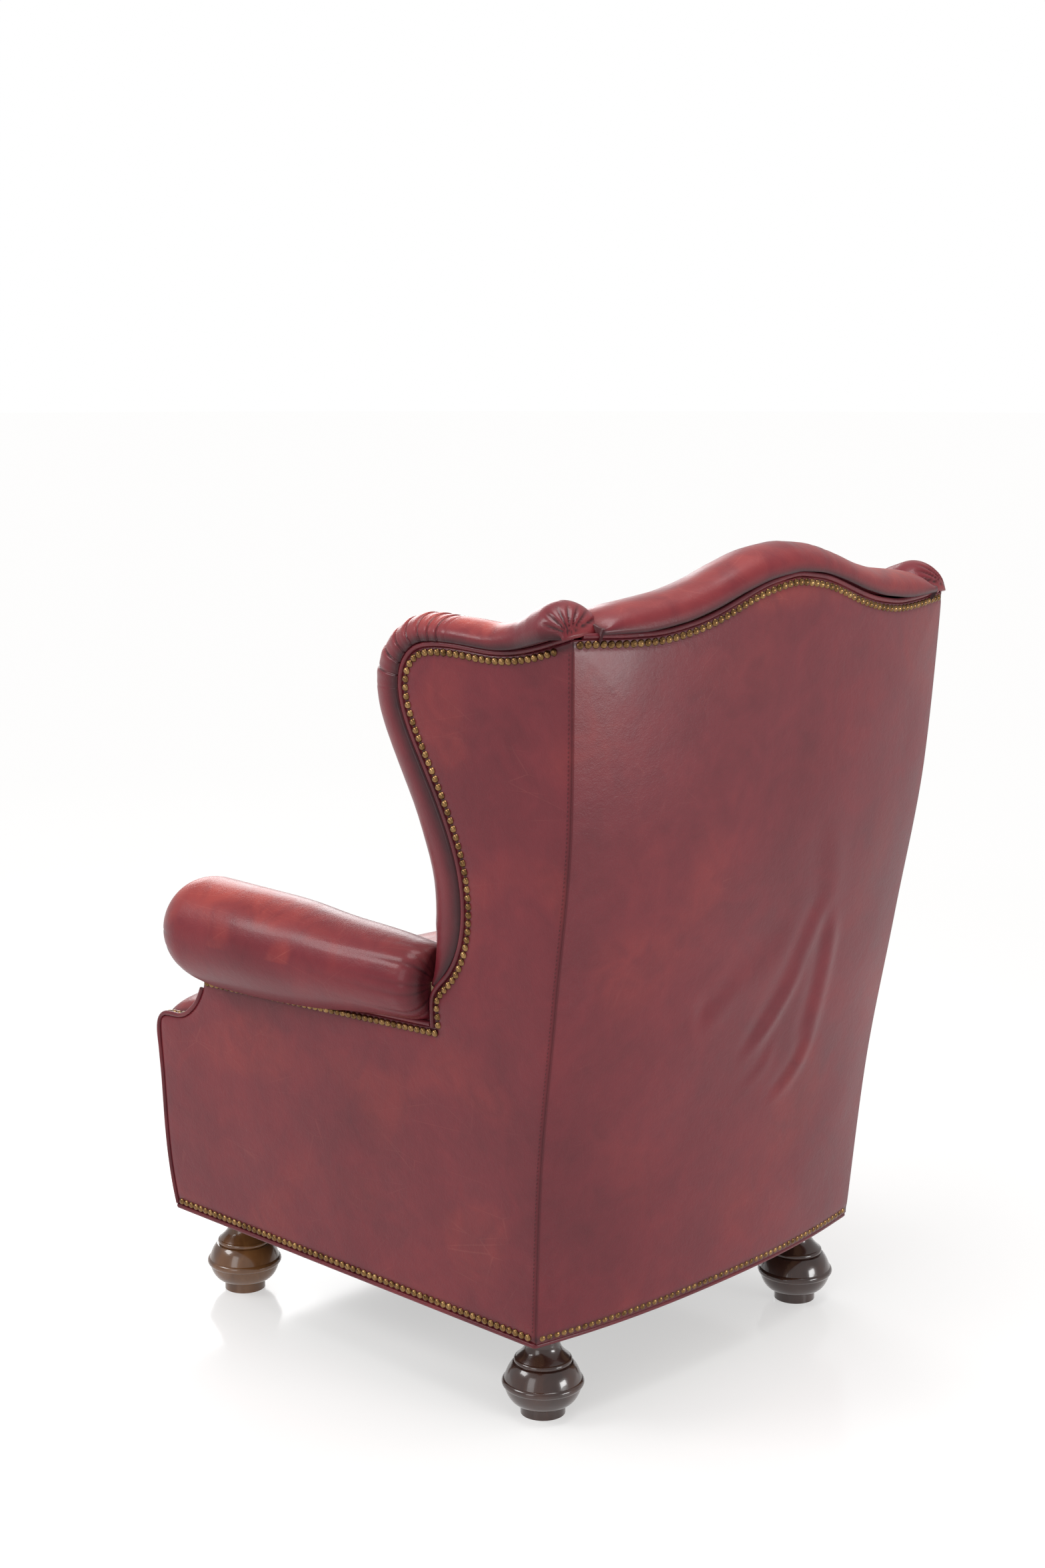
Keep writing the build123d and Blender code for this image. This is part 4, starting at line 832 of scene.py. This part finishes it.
# Folds that run to the notch, strongest at the rear end on the outside
fold = np.zeros(ring_r.shape)
for k in range(ARM_FOLDS):
    aim = math.radians(-62 + 17 * k)
    drift = aim + (run_g / 150.0) * (0.5 - k / ARM_FOLDS) * 0.9
    off_line = (theta_g - drift + math.pi) % (2 * math.pi) - math.pi
    fold += bell(off_line, 0.055) * (0.6 + 0.4 * math.sin(k * 2.3))
fold *= np.exp(-run_g / 60.0)
ring_r = ring_r - FOLD_DEPTH * fold
spots = roll_rear + axis * run_g[..., None] + (
    across_axis * np.cos(theta_g)[..., None] + up_axis * np.sin(theta_g)[..., None]
) * ring_r[..., None]
ring_r = ring_r + 0.9 * waves(spots, 150.0, 51) * step(10, 60, run_g) - 0.5
# Small gathers round the lower half of the front dome
gather = np.maximum(0, np.cos(theta_g * GATHER_COUNT + 0.6 * np.sin(theta_g * 3))) ** 6
dome_zone = step(roll_length + 6, roll_length + 40, run_g) * step(0.5, -0.3, np.sin(theta_g))
ring_r = ring_r - FOLD_DEPTH * gather * dome_zone
x_off, z_off = np.cos(theta_g) * ring_r, np.sin(theta_g) * ring_r
keep = 1 - step(roll_length - 30, roll_length + 26, run_g)
# Outside, below the middle: a hanging curve down to the tacking line
base_y = roll_rear[1] + axis[1] * run_g
plane_x = side_x(base_y, tack_z(base_y)) - (roll_rear[0] + axis[0] * run_g)
tack_drop = tack_z(base_y) + TACK_LIFT - (roll_rear[2] + axis[2] * run_g)
outside = theta_g > 1.5 * math.pi
inner = (theta_g > math.pi) & ~outside
down_o = np.clip((2 * math.pi - theta_g) / (math.pi / 2), 0, 1)
pull_o = step(0.8, 1.0, down_o) * keep
hang = HANG * step(40, 260, run_g)
swing = -down_o * SWING
hang_x, hang_z = np.cos(swing) * ring_r, np.sin(swing) * ring_r - hang * step(0.3, 0.9, down_o)
hang_z = np.where(run_g < 150, np.maximum(hang_z, tack_drop - 2), hang_z)
x_off = np.where(outside, x_off + (hang_x - x_off) * keep, x_off)
z_off = np.where(outside, z_off + (hang_z - z_off) * keep, z_off)
x_off = np.where(outside, x_off + (plane_x - 1 - x_off) * pull_o, x_off)
z_off = np.where(outside, z_off + (tack_drop - z_off) * pull_o, z_off)
down_i = np.clip((theta_g - math.pi) / (math.pi / 2), 0, 1)
wall_x = side_x(base_y, 500) - WALL - 1.0 - (roll_rear[0] + axis[0] * run_g)
pull_i = step(0.0, 0.7, down_i) * (1 - step(0.72, 1.0, down_i)) * keep
x_off = np.where(inner, x_off + (np.minimum(x_off, wall_x) - x_off) * pull_i, x_off)
z_off = np.where(inner, z_off - 8 * pull_i, z_off)
back_side = np.where(inner, step(0.72, 1.0, down_i) * keep, 0)
z_off = np.where(inner, z_off + (tack_drop - z_off) * back_side, z_off)
x_off = np.where(inner, x_off + (plane_x - 6 - x_off) * back_side, x_off)
rings = roll_rear + axis * run_g[..., None] + across_axis * x_off[..., None] + up_axis * z_off[..., None]
points, faces = capped(rings)
# Painted shade in the folds, on the tucked rear end, along the tacking line and in the dome's gathers
shade = 0.4 * fold + 0.75 * np.exp(-run_g / 5.0) * (np.cos(theta_g) > -0.2)
shade = shade + np.where(outside, 0.8 * step(0.8, 1.0, down_o) * keep, 0) + 0.7 * gather * dome_zone
# Wear on the top of the roll, which there also stands for a painted highlight, and random rubs on its outside
wear_sheen_amounts = bell(theta_g - 1.25, 0.6) * (0.2 + 0.55 * step(120, 330, run_g))
wear_sheen_amounts = wear_sheen_amounts + 0.3 * bell(theta_g - 0.2, 0.5) * step(0.1, 0.8, waves(rings, 90.0, 61))
pair(
    "arm_leather", points, faces, hide, {"dark": with_ends(shade), "wear_and_sheen": with_ends(wear_sheen_amounts)},
    replaced=["arm_roll_cover", "arm_roll_stuffing"],
)

# Inside arm pads, from the deck up under the roll
nose_line = curve_through(front_line, 60)
nose_line = nose_line[nose_line[:, 1] > 350]
pad_front = (ARM_Y, 538)
pad_rear_top = (float(corner_y(400)) - REAR_INSET, 536)
pad_rear_low = (float(corner_y(350)) - REAR_INSET, 349)
arm_runs = [
    nose_line.tolist(), [front_line[-1], pad_front], [pad_front, pad_rear_top], [pad_rear_top, pad_rear_low],
    [pad_rear_low, nose_line[0].tolist()],
]
sheet = sheet_of(arm_runs, 10.0, (4.0, 9.0))
flat, depth = sheet[0], sheet[3]
spots = on_side(flat[:, 0], flat[:, 1])
top_fade = 1 - step(470, 530, flat[:, 1])
puff = -WALL - 0.5 - 5.0 * (1 - np.exp(-depth / 18.0)) * top_fade
puff = puff + 0.7 * waves(spots, 140.0, 71) * step(5, 40, depth)
points, faces = side_board(sheet, -47.0, puff)
# Painted shade along the pad's edges
pair(
    "arm_lining", points, faces, hide, {"dark": np.tile(0.45 * np.exp(-depth / 6.0), 2)},
    replaced=["inside_arm_pad"],
)

# Inside back over the crest
BACK_POINTS = 150
CREST_ROLL = 32.0
CREST_LOSS = 11.0
CREST_DEPTH = 93
BACK_DEPTH = 206.0
BACK_CROWN = 22.0
END_TUCK = 14.0
CRACK_PITCH = 9.0
# Shares of the crest's depth and height, then of the back's height and depth below it
CREST_SECTION = [(0, 0), (0.02, 0.5), (0.2, 0.9), (0.45, 1), (0.76, 0.76), (0.97, 0)]
BACK_DEPTHS = [(0.85, 0.66), (0.6, 0.865), (0.34, 1), (0.13, 0.975), (0, 0.93)]
shares = np.sin(np.linspace(-math.pi / 2, math.pi / 2, 120)) * 0.5 + np.linspace(-1, 1, 120) * 0.5
rings, wear_sheen_rings, shade_rings = [], [], []
half_top = side_x(corner_y(TOP_Z), TOP_Z) - WALL
for share_x in shares:
    x0 = half_top * share_x
    z0 = float(crest_z(x0))
    y0 = float(back_y(x0, z0)) + 3.0
    roll_height = CREST_ROLL - CREST_LOSS * bell(1 - abs(share_x), 0.14)
    profile = [(y0 - CREST_DEPTH * a, z0 + WELT + (roll_height + 1) * b) for a, b in CREST_SECTION]
    for height_share, depth_share in BACK_DEPTHS:
        z = DECK_Z + (TOP_Z - DECK_Z) * height_share
        crown = BACK_CROWN * abs(share_x) ** 3
        profile.append((float(back_y(0, z)) - BACK_DEPTH * depth_share + crown, z))
    line = curve_through(profile, BACK_POINTS)
    facing = unit_across(line)
    facing *= 1 if facing[60] @ np.array([0, 1.0]) > 0 or facing[60][0] < 0 else -1
    roll_edge = 1 - abs(share_x)
    tuck = END_TUCK * bell(roll_edge, 0.045) + 2.0 * bell(roll_edge, 0.12)
    line_run = run_length(line)
    spots = np.stack([np.full(BACK_POINTS, x0), line[:, 0], line[:, 1]], -1)
    lift = 1.2 * waves(spots, 190.0, 81)
    apex_cracks = bell(x0 + 52, 40) * np.maximum(0, np.cos(2 * math.pi * x0 / CRACK_PITCH)) ** 4
    crack = apex_cracks * bell(line_run - 62, 42)
    line = line + facing * (lift - 0.9 * crack)[:, None]
    line[:, 0] += tuck * step(30, 110, line_run)
    line[:, 1] -= 0.55 * tuck * (1 - step(60, 150, line_run)) * step(2, 20, line_run)
    low_y = float(corner_y(DECK_Z)) - REAR_INSET - 1
    high_y = line[0][0] - 36
    behind = [(low_y, DECK_Z), (float(corner_y(700)) - 44, 700), (float(corner_y(900)) - 48, 900)]
    behind = np.array(behind + [(high_y - 10, z0 + 9)])
    line = np.vstack([line, behind])
    hidden = np.zeros(len(behind))
    top_part = np.append(1 - step(70, 140, line_run), hidden)
    x_here = share_x * (side_x(line[:, 0], line[:, 1]) - WALL - 0.2 + 24 * top_part)
    rings.append(np.stack([x_here, line[:, 0], line[:, 1]], -1))
    # Wear along the top of the crest, which also stands for a painted highlight there, and lower down the
    # back
    top_rub_and_sheen = bell(line_run - 48, 34) * (0.35 + 0.4 * bell(x0 + 190, 90))
    wear_sheen_rings.append(np.append(top_rub_and_sheen + 0.3 * bell(line_run - 420, 160), hidden))
    # Painted shade at the roll's tucked ends, by the welt and in the cracks
    edge_shade = 0.75 * bell(roll_edge, 0.02)
    near_welt = 0.9 * bell(line_run, 5.0)
    deepest_shade = np.maximum(np.maximum(near_welt, edge_shade), 0.6 * crack)
    shade_rings.append(np.append(deepest_shade, hidden))
points, faces = capped(rings)
piece(
    "back_cushion", points, faces, hide,
    {"dark": with_ends(shade_rings), "wear_and_sheen": with_ends(wear_sheen_rings)},
    replaced=["inside_back_cover", "back_stuffing"],
)

# Seat with its front roll and apron
SEAT_POINTS = 190
SEAT_ROLL = 28.0
SEAT_CROWN = 9.0
SEAT_DIP = 3.5
SEAT_SWELL = 18.0
SEAT_REAR_Z = 430
SEAT_REAR_INSET = 40.4
# Shares out from the middle, of the roll's height and of its swell
SEAT_SIDE = [
    (0, 1, 1), (0.28, 0.99, 0.99), (0.54, 0.95, 0.97), (0.74, 0.86, 0.92), (0.87, 0.7, 0.82),
    (0.95, 0.45, 0.6), (1, 0, 0.2),
]
# Shares of the front's height and of its swell
SEAT_FRONT = [(0, 0), (0.07, 0), (0.2, 0.12), (0.33, 0.38), (0.52, 0.75), (0.76, 1), (0.91, 0.7)]
# Shares of the depth from the rear, of the roll's height over the rear and of the crown
SEAT_TOP = [
    (0.94, 0.985, 0), (0.89, 1, 0), (0.7, 0.9, 0.45), (0.46, 0.45, 1), (0.3, 0.1, 0.6), (0.21, 0, 0.1),
    (0.1, 0, 0), (0, 0, 0),
]
nose_curve = curve_through(front_line, 300)
seat_shares = np.concatenate([
    -(1 - np.linspace(0, 0.16, 22) ** 1.2)[:-1], np.linspace(-0.86, 0.86, 90),
    (1 - np.linspace(0.16, 0, 22) ** 1.2)[1:],
])
rings, shade_rings, wear_sheen_rings = [], [], []
for share_x in seat_shares:
    top_share = float(smooth([(a, b) for a, b, _ in SEAT_SIDE], abs(share_x)))
    swell_share = float(smooth([(a, c) for a, _, c in SEAT_SIDE], abs(share_x)))
    roll_top = NOSE_Z + SEAT_ROLL / 3 + SEAT_ROLL * top_share
    profile = []
    for up, swell in SEAT_FRONT:
        z = BOTTOM_Z + (roll_top - BOTTOM_Z) * up
        profile.append((float(apron_y(min(z, NOSE_Z))) - 6.5 - SEAT_SWELL * swell_share * swell, z))
    rear = float(corner_y(SEAT_REAR_Z)) - SEAT_REAR_INSET
    for behind, level, crown in SEAT_TOP:
        z = SEAT_REAR_Z + (roll_top - SEAT_REAR_Z) * level + SEAT_CROWN * crown * top_share
        profile.append((rear - (rear - FRONT_Y) * behind, z))
    line = curve_through(profile, SEAT_POINTS)
    facing = unit_across(line)
    line_run = run_length(line)
    x0 = share_x * SEAT_HALF
    spots = np.stack([np.full(SEAT_POINTS, x0), line[:, 0], line[:, 1]], -1)
    lift = 1.3 * waves(spots, 200.0, 91) * step(20, 90, line_run)
    on_top = step(line_run[-1] * 0.42, line_run[-1] * 0.6, line_run)
    lift = lift - SEAT_DIP * on_top * bell(x0, 150) * bell(line[:, 0] + 110, 150)
    side_gap = (1 - abs(share_x)) * SEAT_HALF
    lift = lift - 1.5 * bell(side_gap, 3.0)
    lift = lift + np.where(line_run < 40, nail_press(line_run + 0.5, x0), 0)
    line = line + facing * lift[:, None]
    low = np.array([(rear, SEAT_LOW_Z), (FRONT_Y + 32, SEAT_LOW_Z), (FRONT_Y + 21, BOTTOM_Z + 2)])
    line = np.vstack([line, low])
    hidden = np.zeros(len(low))
    line[0][1] = max(line[0][1], BOTTOM_Z)
    low_face = apron_y(np.minimum(line[:, 1], NOSE_Z))
    high_face = np.interp(line[:, 1], nose_curve[:, 1], nose_curve[:, 0])
    face_y = np.where(line[:, 1] <= NOSE_Z, low_face, high_face)
    inset = 16.5 + 41.9 * step(-4.5, -3.0, line[:, 0] - face_y)
    x_here = share_x * (side_x(line[:, 0], line[:, 1]) - inset)
    rings.append(np.stack([x_here, line[:, 0], line[:, 1]], -1))
    # Painted shade at the side gaps and along the front nail row
    edge_shade = 0.7 * bell(side_gap, 3.5)
    nails_shade = 0.85 * bell(line_run, 10.0)
    shade_rings.append(np.append(np.maximum(edge_shade, nails_shade), hidden))
    lip = bell(line_run - line_run[-1] * 0.36, 45) * 0.6
    wear_sheen_rings.append(np.append(lip + 0.25 * on_top, hidden))
points, faces = capped(rings)
piece(
    "seat_cushion", points, turned(faces), hide,
    {"dark": with_ends(shade_rings), "wear_and_sheen": with_ends(wear_sheen_rings)},
    replaced=["seat_cover", "seat_stuffing"],
)

# Leather over the fronts of the arms, between the nailed bands and the seat
facing_line = curve_through(front_line[-10:] + [(ARM_Y + 1, 474), (ARM_Y + 3, 488), (ARM_Y + 6, 502)], 90)
# Section of the leather: height above the side's plane, and how far out of its front edge
FACING = [
    (-16.0, 0.3), (-16.6, 1.6), (-19.0, 2.7), (-26.0, 3.3), (-36.0, 3.6), (-46.0, 3.3), (-52.0, 2.6),
    (-56.0, 1.2), (-58.4, -1.4), (-59.2, -5.0), (-59.2, -10.0), (-58.2, -10.0), (-57.6, -1.5), (-40.0, 0.3),
]
offsets = np.array(FACING)
rings = []
for spot, way in zip(facing_line, unit_across(facing_line)):
    yz = spot + way * offsets[:, 1:]
    rings.append(on_side(yz[:, 0], yz[:, 1], offsets[:, 0]))
points, faces = capped(rings)
# Painted shade along the edge where the leather meets the side
facing_shade = np.tile(np.where(np.abs(offsets[:, 0] + 16.5) < 1, 0.6, 0.0), (len(rings), 1))
pair(
    "arm_front_leather", points, turned(faces), hide,
    {"dark": with_ends(facing_shade)}, replaced=["arm_facing"],
)

# Topstitching beside the rear corner seams
STITCH = 3.5
STITCH_PITCH = 5.2
STITCH_INSET = 3.2
stitch_points, stitch_faces = [], []
for z in np.arange(BOTTOM_Z + 14, TOP_Z - 18, STITCH_PITCH):
    start = on_side(float(corner_y(z)) - STITCH_INSET, z, 1.0)
    end = on_side(float(corner_y(z + STITCH)) - STITCH_INSET, z + STITCH, 1.0)
    side_way = np.array([0, 1.0, 0]) * 0.45
    out_way = NORMAL * 0.5
    base_index = len(stitch_points)
    for centre, size in ((start, 0.3), ((start + end) / 2 + out_way * 0.5, 1.0), (end, 0.3)):
        for a, b in ((1, 0), (0, 1), (-1, 0), (0, -1)):
            stitch_points.append(centre + side_way * a * size + out_way * b * size)
    stitch_faces += [tuple(base_index + k for k in face) for face in loops(3, 4)]
    stitch_faces += [tuple(base_index + k for k in end) for end in ((3, 2, 1, 0), (8, 9, 10, 11))]
pair("corner_stitches", np.array(stitch_points), turned(stitch_faces), thread)

# Finishes of the CAD pieces, by the start of their names
RAILS = (
    "arm_rail", "rear_post", "seat_rail", "side_stay", "wing_board", "crest_rail", "back_lower_rail",
    "corner_blocks",
)
FINISHES = [
    ("foot_front_left", gold_wood),
    # The dark stain on the arm posts also stands for the shade over their thin visible sliver
    (("foot_", "arm_post"), dark_wood),
    (RAILS, beech),
    (("seat_webbing", "back_webbing", "spring_hessian"), jute),
    ("seat_springs", steel),
    ("dust_cover", black_cloth),
]
for name, node in nodes.items():
    finish = next((material for starts, material in FINISHES if name.startswith(starts)), hide)
    if "nails" in name:
        finish = brass
    elif "welt" in name or name.startswith("front_band"):
        finish = welt_hide
    node.data.materials.clear()
    node.data.materials.append(finish)

# Floor, light and camera
FLOOR_RADIUS = 40
FLOOR_SIDES = 64
around = [math.tau * i / FLOOR_SIDES for i in range(FLOOR_SIDES)]
rim = [(FLOOR_RADIUS * math.cos(turn), FLOOR_RADIUS * math.sin(turn), 0) for turn in around]
floor_mesh = bpy.data.meshes.new("floor")
floor_mesh.from_pydata(rim, [], [tuple(range(FLOOR_SIDES))])
floor = bpy.data.objects.new("floor", floor_mesh)
bpy.context.scene.collection.objects.link(floor)
# Floor that mixes lit paint with glow: half glow near the chair, a painted light that lightens its shadow,
# rising to nearly all glow far off to match the white wall's own brightness
paint = Paint("floor_paint")
paint.shader.inputs["Base Color"].default_value = (0.93, 0.92, 0.91, 1)
paint.shader.inputs["Roughness"].default_value = 0.14
glow = paint.node("ShaderNodeEmission", Color=(1.0, 0.995, 0.99, 1))
length = paint.node("ShaderNodeVectorMath")
length.operation = "LENGTH"
paint.put(length.inputs[0], paint.node("ShaderNodeNewGeometry").outputs["Position"])
glow_share = paint.node("ShaderNodeMapRange", Value=length.outputs["Value"])
for key, value in (("From Min", 0.6), ("From Max", 3.0), ("To Min", 0.5), ("To Max", 0.97)):
    glow_share.inputs[key].default_value = value
blend = paint.node("ShaderNodeMixShader")
for slot, value in zip(blend.inputs, (glow_share.outputs["Result"], paint.shader.outputs[0], glow.outputs[0])):
    paint.put(slot, value)
paint.put(paint.tree.nodes["Material Output"].inputs["Surface"], blend.outputs[0])
floor_mesh.materials.append(paint.material)
floor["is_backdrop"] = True

bpy.context.scene.view_settings.view_transform = "Standard"
world = bpy.data.worlds.new("studio")
bpy.context.scene.world = world
world.use_nodes = True
soft_sky = world.node_tree.nodes["Background"]
soft_sky.inputs["Color"].default_value = (1.0, 1.0, 1.0, 1)
soft_sky.inputs["Strength"].default_value = 0.68
white_wall = world.node_tree.nodes.new("ShaderNodeBackground")
white_wall.inputs["Color"].default_value = (1.0, 1.0, 1.0, 1)
seen = world.node_tree.nodes.new("ShaderNodeLightPath")
either = world.node_tree.nodes.new("ShaderNodeMixShader")
world.node_tree.links.new(seen.outputs["Is Camera Ray"], either.inputs[0])
world.node_tree.links.new(soft_sky.outputs[0], either.inputs[1])
world.node_tree.links.new(white_wall.outputs[0], either.inputs[2])
world.node_tree.links.new(either.outputs[0], world.node_tree.nodes["World Output"].inputs["Surface"])


def area_light(name, at, aim, size, power):
    """Rectangular lamp that the camera doesn't see."""
    data = bpy.data.lights.new(name, "AREA")
    data.shape = "RECTANGLE"
    data.size, data.size_y = size
    data.energy = power
    lamp = bpy.data.objects.new(name, data)
    lamp.location = at
    lamp.visible_camera = False
    lamp.rotation_euler = (Vector(aim) - Vector(at)).to_track_quat("-Z", "Y").to_euler()
    bpy.context.scene.collection.objects.link(lamp)


area_light("key", (2.6, -1.6, 2.6), (0, 0, 0.6), (1.4, 1.0), 44)
area_light("top", (0.3, 0.4, 3.0), (0, 0, 0.4), (1.8, 1.2), 50)
area_light("side", (3.4, 0.6, 1.5), (0.3, 0, 0.5), (1.2, 1.8), 18)
area_light("rear", (-0.5, 2.6, 0.7), (0.28, 0.4, 0.95), (0.9, 0.5), 21)
area_light("front", (-1.8, -3.0, 1.8), (0, 0, 0.5), (1.8, 1.6), 45)

LOOK_DOWN, LOOK_ACROSS = 10.62, 45.74
camera_data = bpy.data.cameras.new("camera")
camera_data.sensor_fit = "VERTICAL"
camera_data.sensor_height = 36.0
camera_data.lens = 54.76
camera = bpy.data.objects.new("camera", camera_data)
camera.location = (2.2369, 2.1453, 1.3021)
camera.rotation_euler = (math.radians(90 - LOOK_DOWN), 0, math.radians(180 - LOOK_ACROSS))
bpy.context.scene.collection.objects.link(camera)
bpy.context.scene.camera = camera

[[[float(value) for value in corner] for corner in box] for box in (cad_box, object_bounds())]
